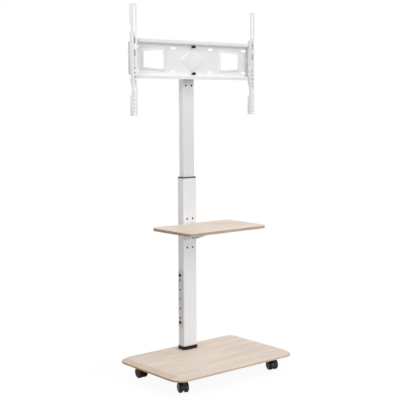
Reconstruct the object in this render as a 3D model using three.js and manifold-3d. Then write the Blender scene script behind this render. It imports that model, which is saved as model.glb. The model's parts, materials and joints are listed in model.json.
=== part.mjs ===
// A rolling television stand: a wooden base on four twin-wheel casters, a telescoping steel post,
// a clamped wooden shelf, and a stamped head plate that carries two hooked screen arms.
// Millimetres, +Z up, +Y to the back, origin on the floor under the middle of the base.

import * as THREE from "three";
import { mergeVertices } from "three/addons/utils/BufferGeometryUtils.js";
import Module from "manifold-3d";

const wasm = await Module();
wasm.setup();

// Fits and facets shared by every piece
const seatGap = 0.25; // between two faces that rest on each other
const slideGap = 0.5; // between sliding faces
const turnGap = 0.2; // radial play round a pin that turns
const holePlay = 0.3; // radial play round a screw in a plain hole
const overrun = 3; // how far a cutter runs past the face it opens
const cornerFacets = 1; // arc steps, per eighth of a turn, in a bend or a small corner
const wideCornerFacets = 3;
const screwFacets = 10;
const holeFacets = 12;
const roundFacets = 20;

// Casters
const wheelRadius = 21;
const wheelHalfGap = 4.5;
const wheelHalfWidth = 20;
const treadWidth = 11;
const treadChamfer = 1.2;
const wheelBoreDepth = 12;
const axleRadius = 2.5;
const casterTrail = 18;
const casterHeight = 62;
const casterInsetX = 70;
const casterInsetY = 49.5;
const hoodGap = 1.2;
const hoodWall = 1.8;
const hoodHalfWidth = 16;
const hoodWeb = 7;
const hoodHubRadius = 6.5;
const hoodBossRadius = 8.5;
const hoodFrontAngle = 200;
const hoodBackAngle = 12;
const stemRadius = 4.6;
const stemFlangeRadius = 12;
const stemFlangeThickness = 3;
const stemReachIntoBoard = 13;
const stemReachIntoHood = 15;
const casterHeadings = { front_left: -20, front_right: -12, rear_left: 180, rear_right: 165 };

// Base board and the clamp under it
const boardWidth = 610;
const boardDepth = 391;
const boardThickness = 18;
const boardChamferRun = 22;
const boardChamferDrop = 11;
const boardTopCorner = 26;
const clampPlateWidth = 150;
const clampPlateDepth = 96;
const clampPlateThickness = 4;
const clampPlateCorner = 10;
const baseBoltRadius = 4;
const baseBoltHeadRadius = 7.5;
const baseBoltHeadHeight = 5;
const baseBoltSpanX = 42;
const baseBoltSpanY = 15;

// Outer column
const columnRearInset = 90; // from the base board's rear edge to the column's front face
const columnWidth = 68;
const columnDepth = 37.2;
const columnWall = 2;
const columnCorner = 4;
const columnHeight = 712; // above the base board
const footPlateThickness = 6;
const collarWall = 2.6;
const collarHeight = 14;
const collarBevel = 1.2;
const bushingRim = 6;
const bushingSleeve = 30;
const lockScrewRadius = 4;
const lockScrewHeadRadius = 8;
const lockScrewHeadHeight = 5;
const lockBossRadius = 9;
const lockBossHeight = 4;
const lockScrewDrop = 70; // from the column's top to the upper lock screw
const lockScrewPitch = 40;

// Shelf screw holes in the column front
const holePitch = 39.2;
const holeSpan = 29;
const shelfHoleRadius = 3.8;
const shelfHoleRows = 4;

// Strip on the column's left side
const stripLength = 243;
const stripWidth = 25;
const stripThickness = 4;
const stripBevel = 1;
const stripHeight = 211; // from the base board to the strip's middle
const stripScrewSpan = 196;
const stripHolePitch = 39;
const stripHoleCount = 5;
const stripHoleRadius = 2.6;
const stripScrewRadius = 3;
const stripScrewHeadRadius = 6;
const stripScrewHeadHeight = 3.5;

// Inner column
const innerWidth = 55.6;
const innerDepth = 29.6;
const innerWall = 1.8;
const innerCorner = 3;
const innerOverlap = 450; // length inside the outer column at rest
const innerTopDrop = 14; // from the head plate's top edge down to the column's end
const glideRim = 8;
const plugReach = 24;
const plugWall = 2.5;
const capRim = 3;
const spareHoleDrop = 24; // from the head plate's lower edge to the spare holes

// Head plate, a hat section with open ends
const headHeight = 1257; // floor to the plate's middle
const headLength = 620;
const headTall = 150;
const headStandoff = 36; // from the column's front face forward to the lips
const headDepth = 18;
const headLip = 13;
const sheet = 2;
const bendRadius = 3;
const headSlotLength = 28;
const headSlotWidth = 10;
const headSlotInnerX = 95;
const headSlotOuterInset = 35; // from the plate's end to the outer slots' middle
const headSlotSpanZ = 91;
const windowInnerX = 146;
const windowOuterInset = 69; // from the plate's end to a window
const windowInnerTall = 74;
const windowOuterTall = 61;
const windowCorner = 4;
const windowRim = 5; // flat frame round a window, before its sloping flank
const padRise = 4;
const padOuterRim = 8;
const diamondHalfWidth = 60;
const diamondHalfTall = 44;
const diamondCorner = 3;
const diamondRise = 2.2;
const headBoltSpan = 105;
const headBoltRadius = 3;
const headBoltNeckRadius = 3.8;
const headBoltNeckHeight = 9;
const headBoltHeadRadius = 5.5;
const headBoltHeadHeight = 7.5;
const headNutRadius = 5.8;
const headNutHeight = 5;
const headBoltTail = 4;

// Saddle between the head plate and the inner column
const saddleWidth = 50;
const saddleTall = 126;
const saddleWall = 2.5;

// Screen arms
const armLength = 417;
const armDrop = 216; // from the plate's middle down to an arm's lower end
const armInset = 9.5; // from the plate's end to the arm's middle
const armWidth = 21;
const armDepth = 18.5;
const armStandoff = 12.5; // from the plate's lips forward to the arm's face
const armEndCorner = 5;
const armHookGap = 1;
const armNeckDepth = 8.5;
const armNeckLength = 26;
const armLowerNeck = 77.5; // from the lower end to the lower neck
const armUpperNeck = 315.5;
const armNeckSlope = 33;
const armHoleRadius = 3.8;
const armEndHoles = 5;
const armHolePitch = 14.6;
const armEndMargin = 9;
const armSlotWidth = 7.6;
const armSlotLength = 26;
const armSlotCentreShares = [0.26, 0.565, 0.675, 0.855];
const armMidHoleShares = [0.31, 0.387, 0.425];
const armScrewRadius = 2.5;
const armScrewHeadRadius = 4.5;
const armScrewHeadHeight = 3;

// Shelf
const shelfHeight = 602; // floor to the shelf's top
const shelfWidth = 400;
const shelfDepth = 243;
const shelfThickness = 12;
const shelfCorner = 25;
const shelfBevel = 1.5;
const shelfBackGap = 2;
const bracketWidth = 58;
const bracketWall = 2.5;
const bracketTall = 53;
const bracketHeel = 9;
const bracketReach = 140;
const bracketToe = 9;
const bracketFlange = 15;
const bracketCorner = 6;
const shelfTopHoleDrop = 8; // from the shelf's underside to the bracket's upper screws
const shelfScrewRadius = 3;
const shelfScrewHeadRadius = 5;
const shelfScrewHeadHeight = 4;
const woodScrewRadius = 2;
const woodScrewHeadRadius = 4;
const woodScrewHeadHeight = 2.4;
const woodScrewBite = 9;
const woodScrewNearShare = 0.2;
const woodScrewFarShare = 0.85;

// Heights and places that follow from the sizes above
const boardTopZ = casterHeight + boardThickness;
const columnSetback = boardDepth / 2 - columnRearInset;
const columnMidY = columnSetback + columnDepth / 2;
const columnTopZ = boardTopZ + columnHeight;
const boreWidth = columnWidth - 2 * columnWall;
const boreDepth = columnDepth - 2 * columnWall;
const innerBottomZ = columnTopZ - innerOverlap;
const innerTopZ = headHeight + headTall / 2 - innerTopDrop;
const innerFrontY = columnMidY - innerDepth / 2;
const lipFrontY = columnSetback - headStandoff;
const headSlotOuterX = headLength / 2 - headSlotOuterInset;
const windowOuterX = headLength / 2 - windowOuterInset;
const wallTopZ = headTall / 2 - headLip; // outer faces of the hat's walls, from the plate's middle
const armFaceY = lipFrontY - armStandoff;
const armCentreX = headLength / 2 - armInset;
const shelfUnderZ = shelfHeight - shelfThickness;
const shelfUpperRowZ = shelfUnderZ - shelfTopHoleDrop;

const finishes = {
  whiteSteel: { color: 0xf2f2f0, roughness: 0.45, metalness: 0.1 },
  zincSteel: { color: 0xb9bcc0, roughness: 0.35, metalness: 0.9 },
  blackSteel: { color: 0x101012, roughness: 0.4, metalness: 0.6 },
  blackPlastic: { color: 0x17181a, roughness: 0.5, metalness: 0 },
  greyPlastic: { color: 0x3a3b3d, roughness: 0.55, metalness: 0 },
  paleWood: { color: 0xe0d0c1, roughness: 0.55, metalness: 0 },
};

// A closed geometry as a solid that can be joined and cut
function solidOf(geometry) {
  const bare = geometry.clone();
  bare.deleteAttribute("normal");
  bare.deleteAttribute("uv");
  const merged = mergeVertices(bare);
  return new wasm.Manifold(
    new wasm.Mesh({
      numProp: 3,
      vertProperties: new Float32Array(merged.attributes.position.array),
      triVerts: new Uint32Array(merged.index.array),
    }),
  );
}

function geometryOf(solid) {
  const { vertProperties, triVerts } = solid.getMesh();
  const geometry = new THREE.BufferGeometry();
  geometry.setAttribute("position", new THREE.BufferAttribute(vertProperties, 3));
  geometry.setIndex(new THREE.BufferAttribute(triVerts, 1));
  geometry.computeVertexNormals();
  return geometry;
}

function joined(first, ...others) {
  return geometryOf(others.reduce((sum, next) => sum.add(solidOf(next)), solidOf(first)));
}

function cut(body, ...cutters) {
  return geometryOf(cutters.reduce((rest, next) => rest.subtract(solidOf(next)), solidOf(body)));
}

// A closed outline through the points, each corner rounded by its own radius
function roundedOutline(points, radii) {
  const shape = new THREE.Shape();
  const count = points.length;
  points.forEach(([x, y], i) => {
    const corner = new THREE.Vector2(x, y);
    const back = new THREE.Vector2(...points[(i + count - 1) % count]).sub(corner).normalize();
    const ahead = new THREE.Vector2(...points[(i + 1) % count]).sub(corner).normalize();
    const radius = Array.isArray(radii) ? radii[i] : radii;
    const half = Math.acos(THREE.MathUtils.clamp(back.dot(ahead), -1, 1)) / 2;
    if (!radius || Math.abs(Math.cos(half)) < Number.EPSILON ** (1 / 3)) {
      if (i === 0) shape.moveTo(x, y);
      else shape.lineTo(x, y);
      return;
    }
    const middle = back.clone().add(ahead).normalize().multiplyScalar(radius / Math.sin(half));
    const centre = corner.clone().add(middle);
    const enter = corner.clone().addScaledVector(back, radius / Math.tan(half)).sub(centre);
    const leave = corner.clone().addScaledVector(ahead, radius / Math.tan(half)).sub(centre);
    const clockwise = back.cross(ahead) > 0;
    if (i === 0) shape.moveTo(centre.x + enter.x, centre.y + enter.y);
    else shape.lineTo(centre.x + enter.x, centre.y + enter.y);
    shape.absarc(centre.x, centre.y, radius, enter.angle(), leave.angle(), clockwise);
  });
  shape.closePath();
  return shape;
}

function rectangle(width, height, radius = 0) {
  const [x, y] = [width / 2, height / 2];
  return roundedOutline([[-x, -y], [x, -y], [x, y], [-x, y]], radius);
}

// A slot with round ends, long in its own x
function slotOutline(length, width) {
  const [run, radius] = [(length - width) / 2, width / 2];
  const shape = new THREE.Shape();
  shape.absarc(run, 0, radius, -Math.PI / 2, Math.PI / 2, false);
  shape.absarc(-run, 0, radius, Math.PI / 2, (3 * Math.PI) / 2, false);
  shape.closePath();
  return shape;
}

// The outline of a bent strip: its path runs along one face, and the sheet lies to the left of it
function bentStrip(path, thickness, inside) {
  const left = path.map(([x, y], i) => {
    const before = path[Math.max(i - 1, 0)];
    const after = path[Math.min(i + 1, path.length - 1)];
    const enter = new THREE.Vector2(x - before[0], y - before[1]).normalize();
    const leave = new THREE.Vector2(after[0] - x, after[1] - y).normalize();
    const normals = [enter, leave].filter((v) => v.lengthSq()).map((v) => [-v.y, v.x]);
    const sum = normals.reduce((a, n) => a.add(new THREE.Vector2(...n)), new THREE.Vector2());
    const reach = (thickness * normals.length) / sum.lengthSq();
    return [x + sum.x * reach, y + sum.y * reach];
  });
  const bend = path.map(([x, y], i) => {
    if (i === 0 || i === path.length - 1) return 0;
    const turn = (x - path[i - 1][0]) * (path[i + 1][1] - y) - (y - path[i - 1][1]) * (path[i + 1][0] - x);
    return turn > 0 ? 1 : -1;
  });
  const right = bend.map((turn) => (turn ? inside + (turn > 0 ? thickness : 0) : 0));
  const back = bend.map((turn) => (turn ? inside + (turn < 0 ? thickness : 0) : 0));
  return roundedOutline([...path, ...left.reverse()], [...right, ...back.reverse()]);
}

// Prisms along the three axes; each starts at zero and runs the positive way
function prismZ(shape, depth, facets = cornerFacets) {
  return new THREE.ExtrudeGeometry(shape, { depth, bevelEnabled: false, curveSegments: facets });
}

function prismX(shape, depth, facets = cornerFacets) {
  const toX = new THREE.Matrix4().makeBasis(
    new THREE.Vector3(0, 1, 0),
    new THREE.Vector3(0, 0, 1),
    new THREE.Vector3(1, 0, 0),
  );
  return prismZ(shape, depth, facets).applyMatrix4(toX);
}

function prismY(shape, depth, facets = cornerFacets) {
  return prismZ(shape, depth, facets).rotateX(Math.PI / 2).translate(0, depth, 0);
}

// A pad whose edge slopes in by its own rise, standing on z = 0
function slopedPad(shape, rise, facets = cornerFacets) {
  const options = { depth: rise, bevelThickness: rise, bevelSize: rise, bevelSegments: 1, curveSegments: facets };
  const pad = new THREE.ExtrudeGeometry(shape, options);
  const { min, max } = new THREE.Box3().setFromBufferAttribute(pad.getAttribute("position"));
  const below = new THREE.BoxGeometry(2 * (max.x - min.x), 2 * (max.y - min.y), 2 * (max.z - min.z));
  below.translate((min.x + max.x) / 2, (min.y + max.y) / 2, rise - (max.z - min.z));
  return cut(pad, below).translate(0, 0, -rise);
}

// A plate with both rims bevelled, standing on z = 0
function softPlate(width, depth, radius, thickness, bevel) {
  const shape = rectangle(width - 2 * bevel, depth - 2 * bevel, radius - bevel);
  const options = { depth: thickness - 2 * bevel, bevelThickness: bevel, bevelSize: bevel, bevelSegments: 1 };
  const curveSegments = radius > width / 20 ? wideCornerFacets : cornerFacets;
  return new THREE.ExtrudeGeometry(shape, { ...options, curveSegments }).translate(0, 0, bevel);
}

function rodY(radius, length, facets = holeFacets) {
  return new THREE.CylinderGeometry(radius, radius, length, facets);
}

function rodX(radius, length, facets = holeFacets) {
  return rodY(radius, length, facets).rotateZ(Math.PI / 2);
}

function rodZ(radius, length, facets = holeFacets) {
  return rodY(radius, length, facets).rotateX(Math.PI / 2);
}

function tube(width, depth, wall, radius, length) {
  const bore = prismZ(rectangle(width - 2 * wall, depth - 2 * wall, radius - wall / 2), length + 2 * overrun);
  return cut(prismZ(rectangle(width, depth, radius), length), bore.translate(0, 0, -overrun));
}

// A screw about y: the head has a round socket and stands on y = 0, or on a shoulder that does;
// the shank runs the negative way
function screw(radius, length, headRadius, headHeight, shoulder = null) {
  const socket = headRadius / 2;
  const seat = shoulder ? shoulder.height : 0;
  const profile = [
    [0, -length],
    [radius, -length],
    [radius, 0],
    ...(shoulder ? [[shoulder.radius, 0], [shoulder.radius, seat]] : []),
    [headRadius, seat],
    [headRadius - headHeight / 4, seat + headHeight],
    [socket, seat + headHeight],
    [socket, seat + headHeight / 2],
    [0, seat + headHeight / 2],
  ];
  return new THREE.LatheGeometry(profile.map(([x, y]) => new THREE.Vector2(x, y)), screwFacets);
}

function piece(group, name, geometry, finish, x = 0, y = 0, z = 0) {
  const mesh = new THREE.Mesh(geometry, new THREE.MeshStandardMaterial(finishes[finish]));
  mesh.name = name;
  mesh.position.set(x, y, z);
  group.add(mesh);
  return mesh;
}

function subgroup(parent, x, y, z) {
  const group = new THREE.Group();
  group.position.set(x, y, z);
  parent.add(group);
  return group;
}

// The four corners of a rectangle of spans, as sign pairs
const corners = [[-1, -1], [1, -1], [-1, 1], [1, 1]];

// Base board with its casters' and column's holes
function buildBase(root) {
  const base = subgroup(root, 0, 0, casterHeight);
  const top = rectangle(
    boardWidth - 2 * boardChamferRun,
    boardDepth - 2 * boardChamferRun,
    boardTopCorner,
  );
  const blank = new THREE.ExtrudeGeometry(top, {
    depth: boardThickness - boardChamferDrop,
    bevelThickness: boardChamferDrop,
    bevelSize: boardChamferRun,
    bevelSegments: 1,
    curveSegments: wideCornerFacets,
  });
  const under = new THREE.BoxGeometry(2 * boardWidth, 2 * boardDepth, 2 * boardThickness);
  const stemHoles = corners.map(([i, j]) =>
    rodZ(stemRadius + holePlay, 2 * (stemReachIntoBoard + seatGap)).translate(
      i * (boardWidth / 2 - casterInsetX),
      j * (boardDepth / 2 - casterInsetY),
      0,
    ),
  );
  const boltHoles = (length) =>
    corners.map(([i, j]) =>
      rodZ(baseBoltRadius + holePlay, 2 * (length + overrun)).translate(
        (i * baseBoltSpanX) / 2,
        columnMidY + (j * baseBoltSpanY) / 2,
        0,
      ),
    );
  const board = cut(blank, under.translate(0, 0, -boardThickness), ...stemHoles, ...boltHoles(boardThickness));
  piece(base, "base_board", board, "paleWood");

  const clamp = prismZ(rectangle(clampPlateWidth, clampPlateDepth, clampPlateCorner), clampPlateThickness);
  const clampZ = -clampPlateThickness - seatGap;
  const holes = boltHoles(clampPlateThickness).map((hole) => hole.translate(0, -columnMidY, 0));
  piece(base, "clamp_plate", cut(clamp, ...holes), "zincSteel", 0, columnMidY, clampZ);

  const reach = boardThickness + clampPlateThickness + footPlateThickness + 2 * seatGap;
  corners.forEach(([i, j], k) => {
    const bolt = screw(baseBoltRadius, reach, baseBoltHeadRadius, baseBoltHeadHeight);
    const [x, y] = [(i * baseBoltSpanX) / 2, columnMidY + (j * baseBoltSpanY) / 2];
    const mesh = piece(base, `base_bolt_${k + 1}`, bolt, "zincSteel", x, y, clampZ - seatGap);
    mesh.rotation.x = -Math.PI / 2;
  });
}

// Outer column: tube, welded foot plate, weld bosses of the lock screws, collar, bushing and side strip
function buildColumn(root) {
  const column = subgroup(root, 0, columnMidY, boardTopZ + seatGap);
  const length = columnHeight - bushingRim - 2 * seatGap;
  const foot = cut(
    prismZ(rectangle(boreWidth + columnWall, boreDepth + columnWall, columnCorner), footPlateThickness),
    ...corners.map(([i, j]) =>
      rodZ(baseBoltRadius + holePlay, 2 * (footPlateThickness + overrun)).translate(
        (i * baseBoltSpanX) / 2,
        (j * baseBoltSpanY) / 2,
        0,
      ),
    ),
  );
  const lockHeights = [0, 1].map((k) => length - lockScrewDrop - k * lockScrewPitch);
  const lockBosses = lockHeights.map((z) =>
    rodY(lockBossRadius, lockBossHeight + columnWall / 2).translate(
      0,
      columnDepth / 2 + (lockBossHeight - columnWall / 2) / 2,
      z,
    ),
  );
  const lockHoles = lockHeights.map((z) =>
    rodY(lockScrewRadius + holePlay, columnDepth).translate(0, columnDepth / 2 + columnWall + overrun, z),
  );
  const shelfRows = Array.from({ length: shelfHoleRows }, (_, k) => (k - shelfHoleRows + 2) * holePitch);
  const shelfHoles = shelfRows.flatMap((rise) =>
    [-1, 1].map((side) =>
      rodY(shelfHoleRadius, 2 * columnWall + overrun).translate(
        (side * holeSpan) / 2,
        -columnDepth / 2,
        shelfUpperRowZ + rise - boardTopZ - seatGap,
      ),
    ),
  );
  const stripHoles = [-1, 1].map((side) =>
    rodX(stripScrewRadius + holePlay, 2 * columnWall + overrun).translate(
      -columnWidth / 2,
      0,
      stripHeight + (side * stripScrewSpan) / 2,
    ),
  );
  const shell = tube(columnWidth, columnDepth, columnWall, columnCorner, length);
  const welded = joined(shell, foot, ...lockBosses);
  piece(column, "outer_column", cut(welded, ...shelfHoles, ...stripHoles, ...lockHoles), "whiteSteel");

  const lockReach = lockBossHeight + columnWall + (boreDepth - innerDepth) / 2;
  lockHeights.forEach((z, k) => {
    const lock = screw(lockScrewRadius, lockReach, lockScrewHeadRadius, lockScrewHeadHeight);
    piece(column, `lock_screw_${k + 1}`, lock, "blackSteel", 0, columnDepth / 2 + lockBossHeight + seatGap, z);
  });

  const collar = softPlate(
    columnWidth + 2 * (seatGap + collarWall),
    columnDepth + 2 * (seatGap + collarWall),
    columnCorner + collarWall,
    collarHeight,
    collarBevel,
  );
  const passage = rectangle(columnWidth + 2 * seatGap, columnDepth + 2 * seatGap, columnCorner);
  const collarBore = prismZ(passage, collarHeight + 2 * overrun).translate(0, 0, -overrun);
  piece(column, "base_collar", cut(collar, collarBore), "blackPlastic");

  const rim = prismZ(rectangle(columnWidth, columnDepth, columnCorner), bushingRim);
  const sleeve = prismZ(
    rectangle(boreWidth - 2 * seatGap, boreDepth - 2 * seatGap, columnCorner),
    bushingSleeve + bushingRim / 2,
  ).translate(0, 0, -bushingSleeve);
  const guide = rectangle(innerWidth + slideGap, innerDepth + slideGap, innerCorner);
  const guideBore = prismZ(guide, bushingSleeve + bushingRim + 2 * overrun);
  const bushing = cut(joined(rim, sleeve), guideBore.translate(0, 0, -bushingSleeve - overrun));
  piece(column, "column_bushing", bushing, "greyPlastic", 0, 0, length + seatGap);

  const strip = softPlate(stripLength, stripWidth, stripWidth / 2, stripThickness, stripBevel);
  const smallHoles = Array.from({ length: stripHoleCount }, (_, k) =>
    rodZ(stripHoleRadius, 2 * (stripThickness + overrun)).translate(
      (k - (stripHoleCount - 1) / 2) * stripHolePitch,
      0,
      0,
    ),
  );
  const screwHoles = [-1, 1].map((side) =>
    rodZ(stripScrewRadius + holePlay, 2 * (stripThickness + overrun)).translate((side * stripScrewSpan) / 2, 0, 0),
  );
  const side = piece(column, "side_strip", cut(strip, ...smallHoles, ...screwHoles), "whiteSteel");
  side.rotation.y = -Math.PI / 2;
  side.position.set(-columnWidth / 2 - seatGap, 0, stripHeight);
  [-1, 1].forEach((step, k) => {
    const fixing = screw(
      stripScrewRadius,
      stripThickness + columnWall + 2 * seatGap,
      stripScrewHeadRadius,
      stripScrewHeadHeight,
    );
    const mesh = piece(column, `strip_screw_${k + 1}`, fixing, "blackSteel");
    mesh.rotation.z = Math.PI / 2;
    mesh.position.set(
      -columnWidth / 2 - stripThickness - 2 * seatGap,
      0,
      stripHeight + (step * stripScrewSpan) / 2,
    );
  });
}

// One wheel about x: its inner face, tread, domed outer face and blind bore; a flat of the tread faces down
function wheelGeometry() {
  const halfFacet = Math.PI / roundFacets;
  const rim = wheelRadius / Math.cos(halfFacet);
  const domeDepth = wheelHalfWidth - wheelHalfGap - treadWidth;
  const profile = [
    [wheelHalfGap + wheelBoreDepth, 0],
    [wheelHalfGap + wheelBoreDepth, axleRadius + turnGap],
    [wheelHalfGap, axleRadius + turnGap],
    [wheelHalfGap, rim - treadChamfer],
    [wheelHalfGap + treadChamfer, rim],
  ];
  const domeSteps = 3;
  for (let k = 0; k <= domeSteps; k++) {
    const angle = (k / domeSteps) * (Math.PI / 2);
    profile.push([
      wheelHalfGap + treadWidth + domeDepth * Math.sin(angle),
      rim / 2 + (rim / 2) * Math.cos(angle),
    ]);
  }
  profile.push([wheelHalfWidth, 0]);
  const points = profile.map(([along, radius]) => new THREE.Vector2(radius, along));
  return new THREE.LatheGeometry(points, roundFacets, halfFacet).rotateZ(-Math.PI / 2);
}

// The fork of a caster: a fender over both wheels, the web between them and the stem's boss
function hoodGeometry() {
  const inner = wheelRadius + hoodGap;
  const outer = inner + hoodWall;
  const from = THREE.MathUtils.degToRad(hoodBackAngle);
  const to = THREE.MathUtils.degToRad(hoodFrontAngle);
  const fender = new THREE.Shape();
  fender.absarc(0, 0, outer, from, to, false);
  fender.absarc(0, 0, inner, to, from, true);
  fender.closePath();
  const shell = prismX(fender, 2 * hoodHalfWidth, holeFacets / 3).translate(-hoodHalfWidth, 0, 0);
  const blade = new THREE.Shape();
  blade.absarc(0, 0, inner + hoodWall / 2, from, to, false);
  blade.closePath();
  const web = prismX(blade, hoodWeb, holeFacets / 3).translate(-hoodWeb / 2, 0, 0);
  const hub = rodX(hoodHubRadius, hoodWeb);
  const bossTop = casterHeight - stemFlangeThickness - 2 * seatGap - wheelRadius;
  const bossFoot = hoodWeb;
  const boss = rodZ(hoodBossRadius, bossTop - bossFoot, roundFacets).translate(
    0,
    -casterTrail,
    (bossTop + bossFoot) / 2,
  );
  const neck = prismZ(rectangle(hoodWeb, casterTrail), outer - bossFoot);
  const socket = rodZ(stemRadius + turnGap, 2 * (stemReachIntoHood + seatGap));
  const axleBore = rodX(axleRadius + turnGap / 2, 2 * (hoodWeb + overrun));
  const wheelRoom = [-1, 1].map((side) =>
    rodX(inner, wheelHalfWidth, roundFacets).translate(side * (wheelHalfWidth + hoodWeb) / 2, 0, 0),
  );
  const body = cut(boss, ...wheelRoom);
  return cut(
    joined(shell, web, hub, body, neck.translate(0, -casterTrail / 2, bossFoot)),
    socket.translate(0, -casterTrail, bossTop),
    axleBore,
  );
}

function buildCaster(root, place, i, j) {
  const caster = subgroup(
    root,
    i * (boardWidth / 2 - casterInsetX),
    j * (boardDepth / 2 - casterInsetY),
    0,
  );
  caster.rotation.z = THREE.MathUtils.degToRad(casterHeadings[place]);
  const stemProfile = [
    [0, casterHeight - stemFlangeThickness - seatGap - stemReachIntoHood],
    [stemRadius, casterHeight - stemFlangeThickness - seatGap - stemReachIntoHood],
    [stemRadius, casterHeight - stemFlangeThickness - seatGap],
    [stemFlangeRadius, casterHeight - stemFlangeThickness - seatGap],
    [stemFlangeRadius, casterHeight - seatGap],
    [stemRadius, casterHeight - seatGap],
    [stemRadius, casterHeight + stemReachIntoBoard],
    [0, casterHeight + stemReachIntoBoard],
  ];
  const points = stemProfile.map(([x, y]) => new THREE.Vector2(x, y));
  const stem = new THREE.LatheGeometry(points, holeFacets).rotateX(Math.PI / 2);
  piece(caster, `caster_${place}_stem`, stem, "zincSteel");
  piece(caster, `caster_${place}_hood`, hoodGeometry(), "blackPlastic", 0, casterTrail, wheelRadius);
  const axleLength = 2 * (wheelHalfGap + wheelBoreDepth - seatGap);
  piece(caster, `caster_${place}_axle`, rodX(axleRadius, axleLength), "zincSteel", 0, casterTrail, wheelRadius);
  const right = wheelGeometry();
  const left = wheelGeometry().rotateZ(Math.PI);
  piece(caster, `caster_${place}_wheel_right`, right, "greyPlastic", 0, casterTrail, wheelRadius);
  piece(caster, `caster_${place}_wheel_left`, left, "greyPlastic", 0, casterTrail, wheelRadius);
}

// A plug that closes a tube's end: its rim stands on z = 0 and its skirt runs the negative way
function plugGeometry(width, depth, radius, rim) {
  const skirtWidth = innerWidth - 2 * (innerWall + seatGap);
  const skirtDepth = innerDepth - 2 * (innerWall + seatGap);
  const skirt = tube(skirtWidth, skirtDepth, plugWall, innerCorner, plugReach + rim / 2);
  return joined(prismZ(rectangle(width, depth, radius), rim), skirt.translate(0, 0, -plugReach));
}

function buildInnerColumn(root) {
  const column = subgroup(root, 0, columnMidY, innerBottomZ);
  const length = innerTopZ - innerBottomZ;
  const shell = tube(innerWidth, innerDepth, innerWall, innerCorner, length);
  const spareZ = headHeight - headTall / 2 - spareHoleDrop - innerBottomZ;
  const spareHoles = [-1, 1].map((side) =>
    rodY(shelfHoleRadius, 2 * innerWall + overrun).translate((side * holeSpan) / 2, -innerDepth / 2, spareZ),
  );
  piece(column, "inner_column", cut(shell, ...spareHoles), "whiteSteel");
  const cap = plugGeometry(innerWidth, innerDepth, innerCorner, capRim);
  piece(column, "inner_cap", cap, "blackPlastic", 0, 0, length + seatGap);
  const glide = plugGeometry(boreWidth - slideGap, boreDepth - slideGap, innerCorner, glideRim);
  const mesh = piece(column, "inner_glide", glide, "greyPlastic", 0, 0, -seatGap);
  mesh.rotation.x = Math.PI;
}

// A window's outline on the plate's right half, grown by the given rims
function windowOutline(rim, outerRim, radius) {
  const [inner, outer] = [windowInnerX - rim, windowOuterX + outerRim];
  const [low, high] = [windowInnerTall / 2 + rim, windowOuterTall / 2 + rim];
  return roundedOutline([[inner, -low], [outer, -high], [outer, high], [inner, low]], radius);
}

// Head plate: a bent hat section, stamped pads round both windows, a stamped diamond, slots and bolt holes
function headPlateGeometry() {
  const half = headTall / 2;
  const section = bentStrip(
    [
      [sheet, -half],
      [sheet, -wallTopZ],
      [headDepth, -wallTopZ],
      [headDepth, wallTopZ],
      [sheet, wallTopZ],
      [sheet, half],
    ],
    sheet,
    bendRadius,
  );
  const hat = prismX(section, headLength).translate(-headLength / 2, 0, 0);
  const diamond = roundedOutline(
    [[-diamondHalfWidth, 0], [0, -diamondHalfTall], [diamondHalfWidth, 0], [0, diamondHalfTall]],
    diamondCorner,
  );
  const pads = [
    [slopedPad(diamond, diamondRise), diamondRise],
    [slopedPad(windowOutline(windowRim, padOuterRim, windowCorner), padRise), padRise],
    [slopedPad(windowOutline(windowRim, padOuterRim, windowCorner), padRise).rotateZ(Math.PI), padRise],
  ];
  const toFront = (pad) => pad.clone().rotateX(Math.PI / 2);
  const web = headDepth - sheet;
  const raised = pads.map(([pad]) => toFront(pad).translate(0, web, 0));
  const hollows = pads.map(([pad]) => toFront(pad).translate(0, headDepth, 0));
  const stamped = cut(joined(hat, ...raised), ...hollows);
  const windows = [0, Math.PI].map((turn) =>
    prismZ(windowOutline(0, 0, windowCorner), headDepth + 2 * overrun)
      .rotateZ(turn)
      .rotateX(Math.PI / 2)
      .translate(0, headDepth + overrun, 0),
  );
  const slots = [headSlotInnerX, headSlotOuterX].flatMap((x) =>
    corners.map(([i, j]) =>
      prismY(slotOutline(headSlotLength, headSlotWidth), headDepth, holeFacets / 4).translate(
        i * x,
        web / 2,
        (j * headSlotSpanZ) / 2,
      ),
    ),
  );
  const boltHoles = [-1, 1].map((side) =>
    rodY(headBoltRadius + holePlay, headDepth).translate(0, web, (side * headBoltSpan) / 2),
  );
  return cut(stamped, ...windows, ...slots, ...boltHoles);
}

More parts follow.
